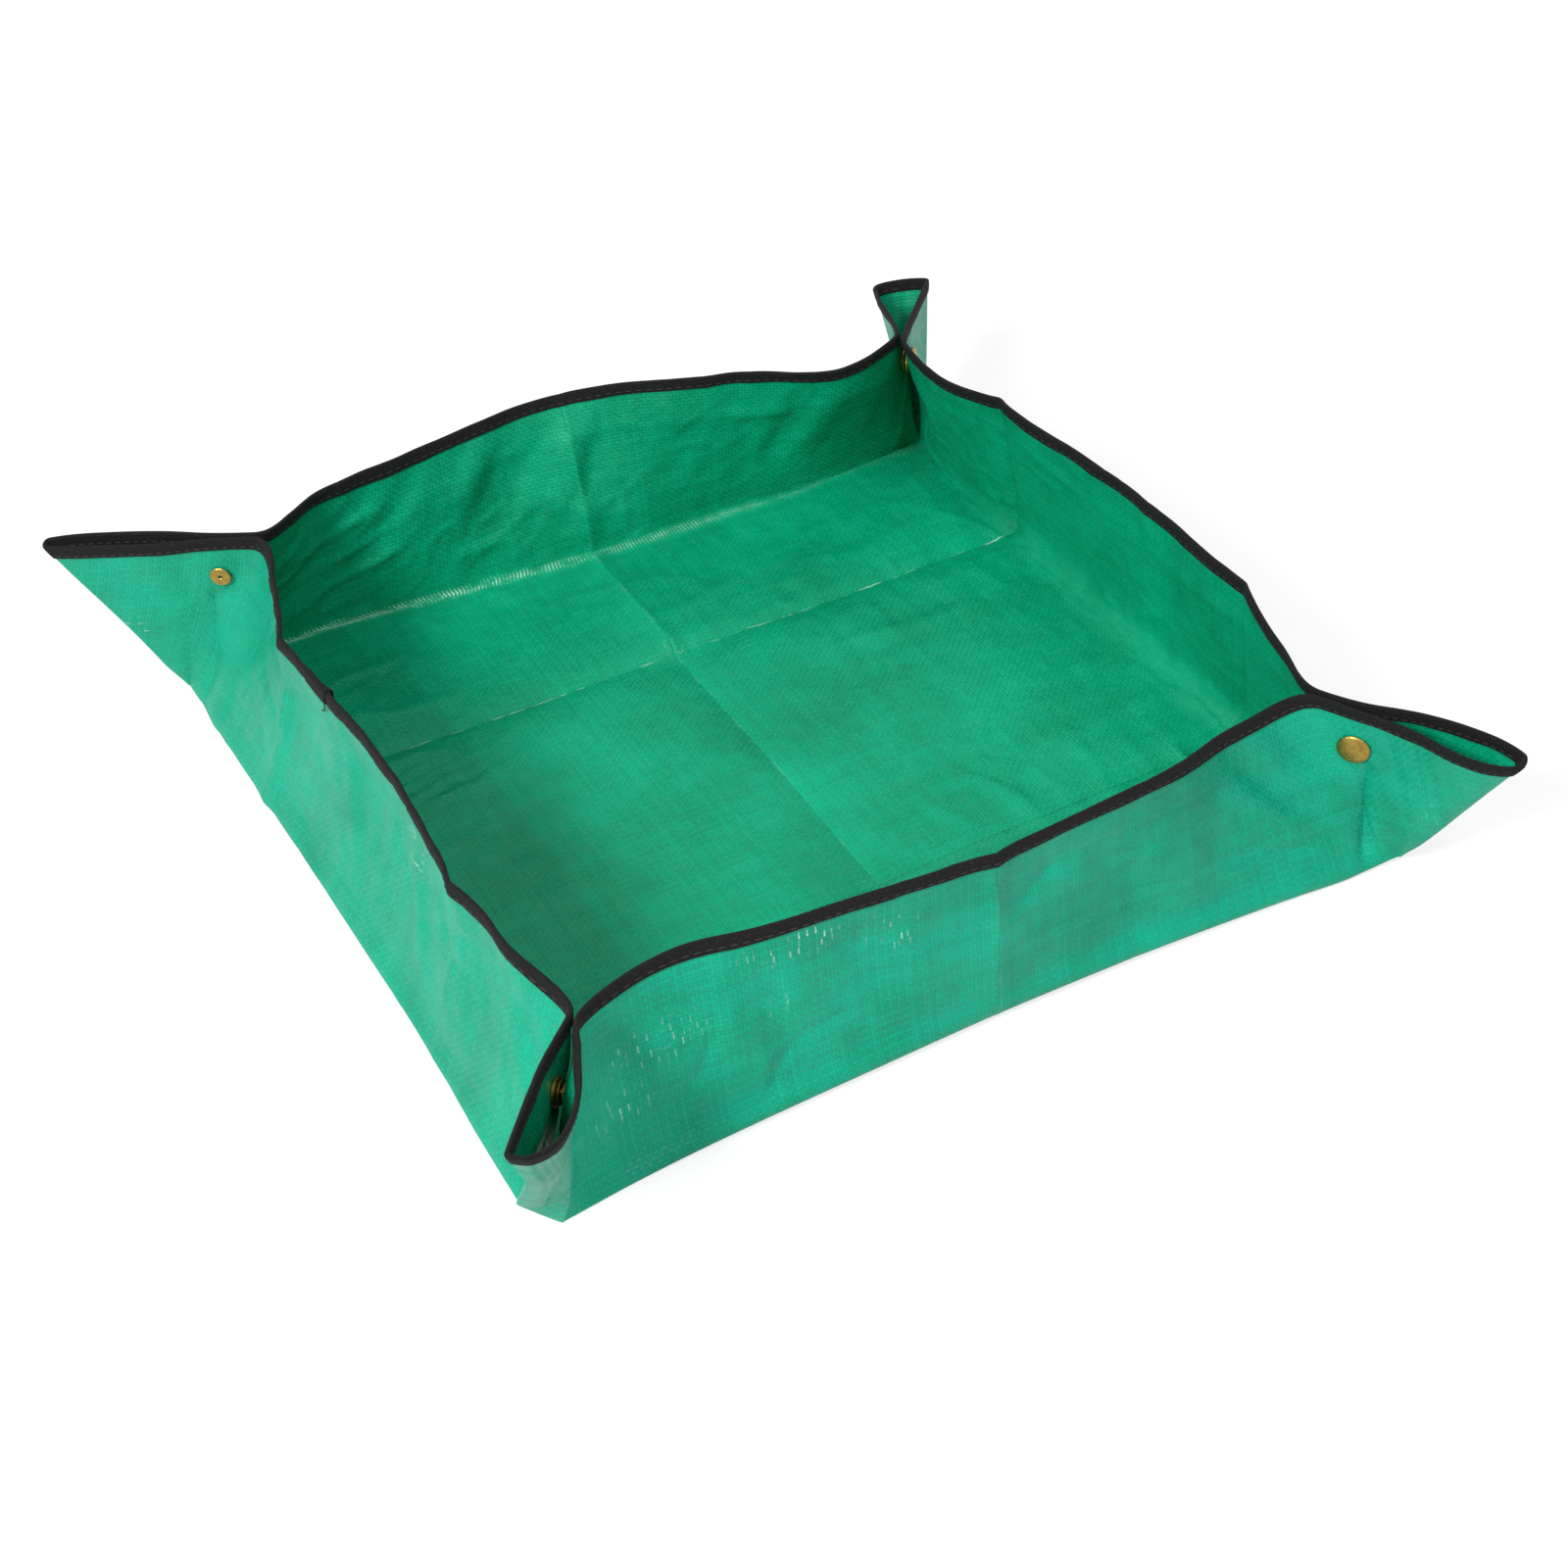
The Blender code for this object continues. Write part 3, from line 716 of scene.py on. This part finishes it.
def make_sheet_material():
    """Laminated woven polyethylene: flat slit tapes woven square and coated on both sides.  It
    is a deep green under a satin film.  Every tape has its own slight tone, and every crossing
    of the weave lies at its own tilt and catches its own glint.  Painted highlights are mixed
    into the colour as a pale green: short dashes in patches, lines along two packing creases,
    and a band of warp tapes over the bend at the back.  Painted shade: the side that faces
    into the tray is tinted a little darker and yellower."""
    material, tree = new_material("coated_woven_polyethylene")
    uv = add_node(tree, "TexCoord").outputs["UV"]
    place = add_node(tree, "VectorMath", uv, (SHEET_SIDE, SHEET_SIDE, 0),
                     (-HALF_SHEET, -HALF_SHEET, 0), operation="MULTIPLY_ADD")
    warp, weft = (add_node(tree, "TexWave", Vector=place, Scale=WAVE / WEAVE_PITCH,
                           bands_direction=axis).outputs["Fac"] for axis in "XY")
    over = add_node(tree, "TexChecker", Vector=place, Scale=1 / WEAVE_PITCH,
                    Color1=(1, 1, 1, 1), Color2=(0, 0, 0, 1)).outputs["Fac"]
    tapes = add_node(tree, "Mix", over, _2=warp, _3=weft, data_type="FLOAT")
    # Each tape has its own random number, and that of the tape on top shows
    number = add_node(tree, "VectorMath", place, Scale=1 / WEAVE_PITCH, operation="SCALE")
    number = add_node(tree, "VectorMath", number, operation="FLOOR")
    number = add_node(tree, "SeparateXYZ", number)
    own = [add_node(tree, "TexWhiteNoise", noise_dimensions="1D",
                    W=add_node(tree, "Math", number.outputs[axis], offset, operation="ADD"))
           for axis, offset in (("X", 0.5), ("Y", 900.5))]
    tape_tone = add_node(tree, "Mix", over, _2=own[0], _3=own[1], data_type="FLOAT")
    # Each crossing, two tapes wide, has its own random numbers, which also tilt it
    cells = add_node(tree, "VectorMath", place, Scale=0.5 / WEAVE_PITCH, operation="SCALE")
    within = add_node(tree, "VectorMath", cells, operation="FRACTION")
    cell = add_node(tree, "VectorMath", cells, operation="FLOOR")
    draw = add_node(tree, "TexWhiteNoise", cell, noise_dimensions="2D")
    tilt, centred = (add_node(tree, "VectorMath", value, (0.5, 0.5, 0.5), operation="SUBTRACT")
                     for value in (draw.outputs["Color"], within))
    slope = add_node(tree, "VectorMath", tilt, centred, operation="DOT_PRODUCT").outputs["Value"]
    # Painted glints: short pale dashes along one tape or the other, in a random few crossings of
    # the listed patches and of noise patches
    where = 0.0
    for middle_u, middle_v, half_u, half_v in GLINT_PATCHES:
        off = add_node(tree, "VectorMath", place, (middle_u * MM, middle_v * MM, 0),
                       operation="SUBTRACT")
        off = add_node(tree, "VectorMath", off, (half_u * MM, half_v * MM, 1),
                       operation="DIVIDE")
        off = add_node(tree, "VectorMath", off, operation="LENGTH").outputs["Value"]
        near = add_node(tree, "MapRange", off, 1.0, 0.3)
        where = add_node(tree, "Math", where, near, operation="MAXIMUM")
    patchy = add_node(tree, "TexNoise", Vector=place, Scale=40.0, Detail=3.0, Roughness=0.55)
    # Where the painted glint dashes crowd most, in noise patches
    glint_clusters = add_node(tree, "MapRange", patchy, 0.7, 0.85)
    patchy = add_node(tree, "MapRange", patchy, 0.42, 0.55)
    where = add_node(tree, "Math", where, patchy, operation="MULTIPLY")
    where = add_node(tree, "Math", where, glint_clusters, operation="MAXIMUM")
    chance = add_node(tree, "MapRange", draw, 0.6, 0.0)
    split = add_node(tree, "SeparateXYZ", within)
    lean = add_node(tree, "SeparateColor", draw.outputs["Color"])
    astray = add_node(tree, "MapRange", lean.outputs["Green"], 0.0, 1.0, 0.25, 0.75)
    dashes = []
    for first, second in ("XY", "YX"):
        narrow = add_node(tree, "Math", split.outputs[first], astray, 0.09, operation="COMPARE")
        short = add_node(tree, "Math", split.outputs[second], 0.5, 0.42, operation="COMPARE")
        dashes.append(add_node(tree, "Math", narrow, short, operation="MULTIPLY"))
    side = add_node(tree, "Math", lean.outputs["Red"], 0.5, operation="GREATER_THAN")
    either = add_node(tree, "Mix", side, _2=dashes[0], _3=dashes[1], data_type="FLOAT")
    # The painted glint dashes, at 0.6 strength
    glint_dash = where
    for factor in (chance, either, 0.6):
        glint_dash = add_node(tree, "Math", glint_dash, factor, operation="MULTIPLY")
    # The packing creases are narrow grooves, with a pale painted highlight along them in places
    across = add_node(tree, "SeparateXYZ", place)
    broken = add_node(tree, "TexNoise", Vector=place, Scale=60.0, Detail=3.0, Roughness=0.55)
    broken = add_node(tree, "MapRange", broken, 0.50, 0.64)
    sideways = add_node(tree, "Math", across.outputs["X"], operation="ABSOLUTE")
    on_floor = add_node(tree, "MapRange", sideways, HALF_FLOOR, HALF_FLOOR - 12 * MM)
    groove, crease_glint = 1.0, 0.0
    for axis, middle, glint_strength in PACKING:
        off = add_node(tree, "Math", across.outputs[axis], middle, operation="SUBTRACT")
        off = add_node(tree, "Math", off, operation="ABSOLUTE")
        deep = add_node(tree, "MapRange", off, 0.0, 1.5 * MM)
        groove = add_node(tree, "Math", groove, deep, operation="MINIMUM")
        line = add_node(tree, "MapRange", off, 0.7 * MM, 0.2 * MM, 0.0, glint_strength)
        crease_glint = add_node(tree, "Math", crease_glint, line, operation="MAXIMUM")
    for factor in (broken, on_floor):
        crease_glint = add_node(tree, "Math", crease_glint, factor, operation="MULTIPLY")
    # Painted highlight: a pale band of warp tapes over the back bend, strongest at the left
    bend = add_node(tree, "MapRange", across.outputs["X"], -0.11, 0.0, HALF_FLOOR + 7 * MM,
                    HALF_FLOOR - 7 * MM)
    bend = add_node(tree, "Math", across.outputs["Y"], bend, operation="SUBTRACT")
    bend = add_node(tree, "Math", bend, operation="ABSOLUTE")
    bend = add_node(tree, "MapRange", bend, 5.5 * MM, 1 * MM)
    stronger_left = add_node(tree, "MapRange", across.outputs["X"], 0.1, -0.1, 0.15, 0.8)
    uneven = add_node(tree, "TexNoise", Vector=place, Scale=140.0, Detail=3.0, Roughness=0.55)
    uneven = add_node(tree, "MapRange", uneven, 0.38, 0.6)
    for factor in (add_node(tree, "MapRange", warp, 0.4, 0.9), on_floor, stronger_left, uneven):
        bend = add_node(tree, "Math", bend, factor, operation="MULTIPLY")
    # All the painted highlights together: glint dashes, crease lines and the bend band
    pale = crease_glint
    for other in (bend, glint_dash):
        pale = add_node(tree, "Math", pale, other, operation="MAXIMUM")
    film = add_node(tree, "TexNoise", Vector=place, Scale=110.0, Detail=4.0, Roughness=0.5)
    broad = add_node(tree, "TexNoise", Vector=place, Scale=16.0, Detail=4.0, Roughness=0.6)
    shade = add_node(tree, "MapRange", tapes, 0.0, 1.0, 0.0, 0.2)
    for other in (add_node(tree, "MapRange", broad, 0.3, 0.7, 0.05, 0.5),
                  add_node(tree, "MapRange", tape_tone, 0.0, 1.0, -0.06, 0.12)):
        shade = add_node(tree, "Math", shade, other, operation="ADD")
    green = add_node(tree, "Mix", shade, _6=linear("#007a5a"), _7=linear("#05b896"),
                     data_type="RGBA").outputs[2]
    # Painted shade: the side facing into the tray is tinted darker and yellower
    inner = add_node(tree, "Attribute", attribute_name="inner_face").outputs["Fac"]
    green = add_node(tree, "Mix", inner, _6=green, _7=(1.0, 0.94, 0.80, 1.0),
                     data_type="RGBA", blend_type="MULTIPLY").outputs[2]
    # Painted highlights: the colour goes towards a pale green where they are
    green = add_node(tree, "Mix", pale, _6=green, _7=linear("#d2f4e6"),
                     data_type="RGBA").outputs[2]
    normal = add_node(tree, "Bump", Strength=0.5, Distance=0.2 * MM, Height=tapes)
    for height, distance, strength in (
            (slope, 0.7 * MM, 0.5), (groove, 0.4 * MM, 0.7), (film, 1.0 * MM, 0.5)):
        normal = add_node(tree, "Bump", Strength=strength, Distance=distance, Height=height,
                          Normal=normal)
    return finish(material, Base__Color=green, Normal=normal, IOR=1.5,
                  Roughness=add_node(tree, "MapRange", film, 0.3, 0.7, 0.34, 0.52),
                  Specular__IOR__Level=0.22)


def make_tape_material():
    """Woven polypropylene binding: fine ribs across the tape, matt, with lighter loose fibres.
    The ribs are 0.6 mm apart on the real tape and are drawn at 1.1 mm so that they show."""
    material, tree = new_material("black_woven_binding")
    place = add_node(tree, "TexCoord").outputs["UV"]
    ribs = add_node(tree, "TexWave", Vector=place, Scale=WAVE / (1.1 * MM), Distortion=1.5,
                    Detail=2.0, Detail__Scale=0.4, bands_direction="X").outputs["Fac"]
    along = add_node(tree, "TexWave", Vector=place, Scale=WAVE / (0.9 * MM),
                     bands_direction="Y").outputs["Fac"]
    weave = add_node(tree, "Math", ribs, along, operation="MULTIPLY")
    fibre = add_node(tree, "TexNoise", Vector=place, Scale=900.0, Detail=4.0, Roughness=0.5)
    loose = add_node(tree, "MapRange", fibre, 0.55, 0.75)
    colour = add_node(tree, "Mix", loose, _6=linear("#0f0e0f"), _7=linear("#2a2727"),
                      data_type="RGBA").outputs[2]
    normal = add_node(tree, "Bump", Strength=0.8, Distance=0.2 * MM, Height=weave)
    normal = add_node(tree, "Bump", Strength=0.4, Distance=0.2 * MM, Height=fibre,
                      Normal=normal)
    return finish(material, Base__Color=colour, Normal=normal, Roughness=0.9,
                  Specular__IOR__Level=0.25)


def make_brass_material():
    """Antique plated brass: pressed, plated and dulled, so its highlights are warm and broken
    by darker patches of oxide."""
    material, tree = new_material("antique_brass")
    place = add_node(tree, "TexCoord").outputs["Object"]
    patch = add_node(tree, "TexNoise", Vector=place, Scale=420.0, Detail=4.0, Roughness=0.65)
    oxide = add_node(tree, "MapRange", patch, 0.45, 0.75)
    colour = add_node(tree, "Mix", oxide, _6=linear("#a68a44"), _7=linear("#7c6634"),
                      data_type="RGBA").outputs[2]
    return finish(material, Base__Color=colour, Metallic=1.0,
                  Roughness=add_node(tree, "MapRange", patch, 0.0, 1.0, 0.3, 0.5),
                  Normal=add_node(tree, "Bump", Strength=0.12, Distance=0.1 * MM, Height=patch))


def make_thread_material():
    """Spun polyester sewing thread: two plies twisted at 0.9 mm, dull, lighter than the tape."""
    material, tree = new_material("spun_polyester_thread")
    place = add_node(tree, "TexCoord").outputs["Object"]
    twist = add_node(tree, "TexWave", Vector=place, Scale=WAVE / (0.9 * MM),
                     bands_direction="DIAGONAL").outputs["Fac"]
    colour = add_node(tree, "Mix", twist, _6=linear("#121112"), _7=linear("#201e1f"),
                      data_type="RGBA").outputs[2]
    return finish(material, Base__Color=colour, Roughness=0.7,
                  Normal=add_node(tree, "Bump", Strength=0.5, Distance=0.1 * MM, Height=twist))


SHEET = make_sheet_material()
THREAD_FINISH = make_thread_material()
TAPE = make_tape_material()
BRASS = make_brass_material()


EDGE = 0.9 * MM             # the cut edge lies this far inside the tape's fold


def ear_blend(piece, wall, end):
    """Bakes the piece's transform into its mesh.  The hinge line and the direction across it are
    worked out, but nothing uses them.
    """
    sign = 1 if end else -1
    corner = wall_corners(wall)[end]
    place = np.array([sign * HINGE_RIM, sign * (HINGE_RIM + TURN_BLEND)])
    hinge, beyond = folded(wall, place, np.array([WALL_SLANT, WALL_SLANT]))
    line = unit(hinge - floor_corner(corner)[0])
    across = beyond - hinge
    across = unit(across - line * np.dot(across, line))
    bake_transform(piece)


TAPE_OUT = 0.85 * MM        # half the bound edge's thickness
TAPE_IN = 0.3 * MM
STITCH_PITCH = 4.2 * MM
STITCH_LENGTH = 3.1 * MM
STITCH_IN = 1.3 * MM        # the seam's distance from the tape's inner edge
THREAD = 0.7 * MM           # a 0.35 mm thread, drawn twice as thick so that it shows


def tape_profile():
    """Section of the folded tape as a closed loop of (below the rim, aside) pairs: out side,
    half circle over the edge, other side, and back inside.  The sides swell a little between
    the stitches and the edge."""
    side = np.linspace(TAPE_WIDTH, TAPE_OUT, 14)
    swell = TAPE_OUT + 0.15 * MM * np.sin(np.pi * np.clip((TAPE_WIDTH - side) / TAPE_WIDTH, 0, 1))
    turn = np.linspace(0, np.pi, 9)[1:-1]
    over = np.stack([TAPE_OUT - TAPE_OUT * np.sin(turn), TAPE_OUT * np.cos(turn)], 1)
    inside = np.linspace(TAPE_WIDTH, EDGE, 4)
    gap = np.full(4, TAPE_IN)
    return np.concatenate([
        np.stack([side, swell], 1), over, np.stack([side, -swell], 1)[::-1],
        np.stack([inside, -gap], 1), np.stack([inside, gap], 1)[::-1],
    ])


def beside_rim(wall, place, below, aside):
    """Points a distance below the rim and aside from the cloth, along its outward normal."""
    height = WALL_SLANT - below
    return cloth(wall, place, height) + cloth_normal(wall, place, height) * aside[..., None]


def make_tape(name, wall, places, section, corner=0.0):
    """The tape's section carried along the rim.  At its last place the inner side may stand
    further down by corner, as the cut end of a lap does."""
    place, below = np.meshgrid(places, section[:, 0], indexing="ij")
    aside = np.broadcast_to(section[:, 1], place.shape)
    waver = 0.35 * MM * lattice_noise(place, place * 0 + WALLS.index(wall), 14 * MM, 21)
    depth = np.clip(below / TAPE_WIDTH, 0, 1) ** 2
    loose = ease(place, places[-1] - 6 * MM, places[-1]) * (aside < 0)
    below = below + (waver + corner * loose) * depth
    points = beside_rim(wall, place, below, aside * (1 + (0.8 if corner else 0) * loose))
    reach = np.concatenate([[0], np.cumsum(np.linalg.norm(np.diff(section, axis=0), axis=1))])
    uv = np.stack([place.ravel(), np.broadcast_to(reach, place.shape).ravel()], 1)
    # Each end is closed by a ladder of quads between the section's two halves
    rows = len(section)
    rung = np.arange(rows // 2 - 1)
    end = np.stack([rung, rung + 1, rows - 2 - rung, rows - 1 - rung], 1)
    faces = np.concatenate([grid_faces(len(places), rows, wrap_rows=True), end[:, ::-1],
                            end + (len(places) - 1) * rows])
    return make_piece(name, points.reshape(-1, 3), faces, TAPE, uv, 50)


def make_thread(name, points, faces):
    return make_piece(name, points, faces, THREAD_FINISH, points[:, :2] * 0, 60)


def make_stitches(name, wall, start, stop):
    """Thread that holds the tape, seen on both of its faces: each stitch is a low half tube
    tapered to its ends, across in degrees and along by sqrt(1-s^2), pressed into the tape."""
    count = max(2, int(abs(stop - start) / STITCH_PITCH))
    centres = start + (stop - start) * (np.arange(count) + 0.5) / count
    along = np.linspace(-1, 1, 7)
    round_it = np.linspace(0, math.pi, 5)
    across, out = np.cos(round_it), np.sin(round_it)
    taper = np.sqrt(1 - (0.96 * along) ** 2)
    place = centres[:, None, None] + along[None, :, None] * STITCH_LENGTH / 2 + 0 * across
    below = TAPE_WIDTH - STITCH_IN + (taper[:, None] * across * THREAD / 2)[None] + 0 * place
    rise = (TAPE_OUT - 0.05 * MM) + taper[:, None] * out * THREAD / 2
    one = grid_faces(len(along), len(across))
    size = len(along) * len(across)
    points, faces = [], []
    for side in (1, -1):
        aside = side * np.broadcast_to(rise, place.shape)
        points.append(beside_rim(wall, place, below, aside).reshape(-1, 3))
        shift = (np.arange(count) + (side < 0) * count)[:, None, None] * size
        faces.append((one[:, ::-side] + shift).reshape(-1, 4))
    return make_thread(name, np.concatenate(points), np.concatenate(faces))


LAP_END = -41 * MM          # where the tape's outer end lies along the left wall


def make_loose_end(name, wall, place):
    """A loose end of the sewing thread: six-sided rings along a curve that hangs and curls."""
    s = np.linspace(0, 1, 14)
    centre = beside_rim(wall, place + 2.5 * MM * np.sin(4 * s), TAPE_WIDTH - 1 * MM + 6 * MM * s,
                        TAPE_OUT + 1.2 * MM * np.sin(math.pi * s))
    ahead = unit(np.gradient(centre, axis=0))
    side = unit(np.cross(ahead, UP))
    angle = np.linspace(0, 2 * math.pi, 6, endpoint=False)[:, None]
    ring = np.cos(angle) * side[:, None] + np.sin(angle) * np.cross(side, ahead)[:, None]
    points = (centre[:, None] + ring * THREAD * 0.4).reshape(-1, 3)
    return make_thread(name, points, grid_faces(len(s), 6, wrap_rows=True))


def make_lap():
    """Where the tape's two ends lap on the left wall: a second layer over the first, drawn as
    the same section a little bigger, its cut corner standing out, and the thread's end."""
    section = tape_profile() * np.array([1.10, 1.45]) - np.array([0.4 * MM, 0])
    lap = make_tape("left_wall_binding_lap", "left", np.linspace(LAP_END - 17 * MM, LAP_END, 18),
                    section, 2.6 * MM)
    end = make_loose_end("left_wall_thread_end", "left", LAP_END - 1 * MM)
    for piece in (lap, end):
        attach(piece, "left_wall")
    return [lap, end]


def make_sewn(names, wall, node, grid, rim_places, seam, follow, follow_sewn, make_more=tuple,
              **sheet):
    """A piece of the cloth with its length of tape and its thread.  The names are filled in
    with what each is; follow is called on the cloth and follow_sewn on the tape and thread."""
    flat = flat_place(wall, *grid)
    piece = make_shell(names.format("cloth"), cloth(wall, *grid), cloth_normal(wall, *grid),
                       flat, SHEET)
    follow(piece)
    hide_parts(node)
    tape = make_tape(names.format("binding"), wall, rim_places, tape_profile())
    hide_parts(f"{node}_tape")
    thread = make_stitches(names.format("stitching"), wall, *seam)
    for part in (tape, thread):
        follow_sewn(part)
    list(make_more())


WALL_PLACES = spread(-1, 1, STEP / HINGE_RIM, 0.3)


def make_floor():
    """The flat of the sheet, inside the soft bends."""
    reach = foot_reach(WALL_PLACES * FAN_END) * (1 - FLOOR_BORDER / HALF_FLOOR)
    y, x = np.meshgrid(reach, reach, indexing="ij")
    piece = make_shell("floor_cloth", floor_cloth(x, y), -cross_normal(floor_cloth, x, y),
                       (x, y), SHEET)
    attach(piece, "floor")
    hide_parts("floor_panel")


def make_wall(wall):
    """A wall from inside its base bend to the rim, between its two hinge lines."""
    body = f"{wall}_wall"
    share, height = np.meshgrid(
        WALL_PLACES, np.linspace(-FLOOR_BORDER, WALL_SLANT - EDGE, 70), indexing="ij")
    middle = np.zeros(2)
    start, end = settle(folded(wall, middle, np.array(JOINT_REACH[wall]) * MM), wall, middle)
    make_sewn(
        body + "_{}", wall, body, (share * hinge_place(height), height),
        WALL_PLACES * HINGE_RIM, (-HINGE_RIM, HINGE_RIM),
        lambda piece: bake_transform(piece),
        lambda piece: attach(piece, body), make_lap if wall == "left" else tuple,
        flat=(FLOOR_SIDE, FLOOR_BORDER + WALL_SLANT), rests_on=["floor_cloth"])


def make_ear_half(wall, end):
    """Half an ear from its hinge line to the keel, the last tenth of it round the keel."""
    corner = wall_corners(wall)[end]
    share, height = np.meshgrid(
        np.linspace(0, 1, 80), np.linspace(EAR_FOOT, WALL_SLANT - EDGE, 52), indexing="ij")
    keel = HALF_SHEET - KEEL_ROUND
    start = hinge_place(height)
    place = np.where(share < 0.9, start + (keel - start) * share / 0.9,
                     keel + KEEL_ROUND * (share - 0.9) / 0.1)
    places = np.concatenate([spread(HINGE_RIM, keel, 1.3 * MM, 0.3)[:-1],
                             np.linspace(keel, HALF_SHEET, 9)])
    seam = np.array([HINGE_RIM, keel - 1 * MM])
    if end == 0:
        place, height, places, seam = -place[::-1], height[::-1], -places[::-1], -seam

    def follow(piece):
        ear_blend(piece, wall, end)

    make_sewn(f"{wall}_ear_{{}}_{corner}", wall, f"{wall}_ear_half_{corner}", (place, height),
              places, seam, follow, follow, flat=(HALF_SHEET - HINGE_RIM, WALL_SLANT),
              rests_on=[f"{wall}_wall_cloth"])


make_floor()
for each_wall in WALLS:
    make_wall(each_wall)
    make_ear_half(each_wall, 0)
    make_ear_half(each_wall, 1)
for node_name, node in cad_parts.items():
    if node_name.startswith("snap_"):
        node.data.materials.clear()
        node.data.materials.append(BRASS)


TABLE_REACH = 4.0
TABLE_GAP = 0.1 * MM        # the table lies this far below the mat
CAMERA_LENS = 62.53         # millimetres, as Blender counts it
CAMERA_ANGLES = (-27.17, 39.5)
CAMERA_ROLL = -2.76
CAMERA_TARGET = np.array([-1.04, -12.11, 0.0]) * MM
CAMERA_DISTANCE = 1.068


def seen_as_background(tree):
    """1 for camera, glossy and transmission rays, so that metal shows the same background."""
    path = add_node(tree, "LightPath").outputs
    seen = path["Is Camera Ray"]
    for other in ("Is Glossy Ray", "Is Transmission Ray"):
        seen = add_node(tree, "Math", seen, path[other], operation="MAXIMUM")
    return seen


def make_table():
    """A plain pale table top that keeps the shadow."""
    material, tree = new_material("pale_table")
    tree.nodes.clear()
    plain = add_node(tree, "BsdfDiffuse", Color=(0.8, 0.8, 0.8, 1))
    shade = add_node(tree, "BsdfDiffuse", Color=(0.3, 0.3, 0.3, 1))
    glow = add_node(tree, "Emission", Color=(1, 1, 1, 1), Strength=0.78)
    seen = add_node(tree, "AddShader", shade, glow)
    mix = add_node(tree, "MixShader", seen_as_background(tree), plain, seen)
    add_node(tree, "OutputMaterial", Surface=mix)
    corners = np.array([(-1, -1, 0), (1, -1, 0), (1, 1, 0), (-1, 1, 0)]) * TABLE_REACH
    make_piece("table", corners - UP * TABLE_GAP, np.array([[0, 1, 2, 3]]), material)


def make_world(strength):
    """A white world that gives a weaker light than the background it shows."""
    world = bpy.data.worlds.new("studio")
    bpy.context.scene.world = world
    world.use_nodes = True
    tree = world.node_tree
    tree.nodes.clear()
    fill = add_node(tree, "Background", Color=(1, 1, 1, 1), Strength=strength)
    white = add_node(tree, "Background", Color=(1, 1, 1, 1), Strength=1.0)
    mix = add_node(tree, "MixShader", seen_as_background(tree), fill, white)
    add_node(tree, "OutputWorld", Surface=mix)


def direction(azimuth, elevation):
    """Where something stands: its azimuth from the front and its elevation, in degrees."""
    a, e = math.radians(azimuth), math.radians(elevation)
    return np.array([math.sin(a) * math.cos(e), -math.cos(a) * math.cos(e), math.sin(e)])


def set_up(name, data, place, target, roll=0.0):
    """A lamp or camera at place, its -Z towards the target, rolled by some degrees."""
    back = unit(place - target)
    right = unit(np.cross(UP, back))
    up = np.cross(back, right)
    cos, sin = math.cos(math.radians(roll)), math.sin(math.radians(roll))
    matrix = np.eye(4)
    matrix[:3, :3] = np.column_stack([cos * right + sin * up, cos * up - sin * right, back])
    matrix[:3, 3] = place
    made = bpy.data.objects.new(name, data)
    bpy.context.scene.collection.objects.link(made)
    made.matrix_world = Matrix(matrix)
    return made


def make_lamp(name, azimuth, elevation, distance, size, energy):
    """A square soft box that faces the middle of the mat."""
    data = bpy.data.lights.new(name, "AREA")
    data.shape = "SQUARE"
    data.size = size
    data.energy = energy
    set_up(name, data, distance * direction(azimuth, elevation), UP * 30 * MM)


def make_camera():
    """Camera at the photograph's angle: turned round the mat, raised, and rolled a little."""
    data = bpy.data.cameras.new("camera")
    data.lens = CAMERA_LENS
    data.sensor_width = 36.0
    place = CAMERA_TARGET + direction(*CAMERA_ANGLES) * CAMERA_DISTANCE
    bpy.context.scene.camera = set_up("camera", data, place, CAMERA_TARGET, CAMERA_ROLL)


make_table()
make_world(0.30)
make_lamp("key", -68, 40, 2.2, 0.6, 45)
make_lamp("fill", 10, 60, 2.4, 0.9, 20)
make_camera()
bpy.context.scene.view_settings.view_transform = "Standard"
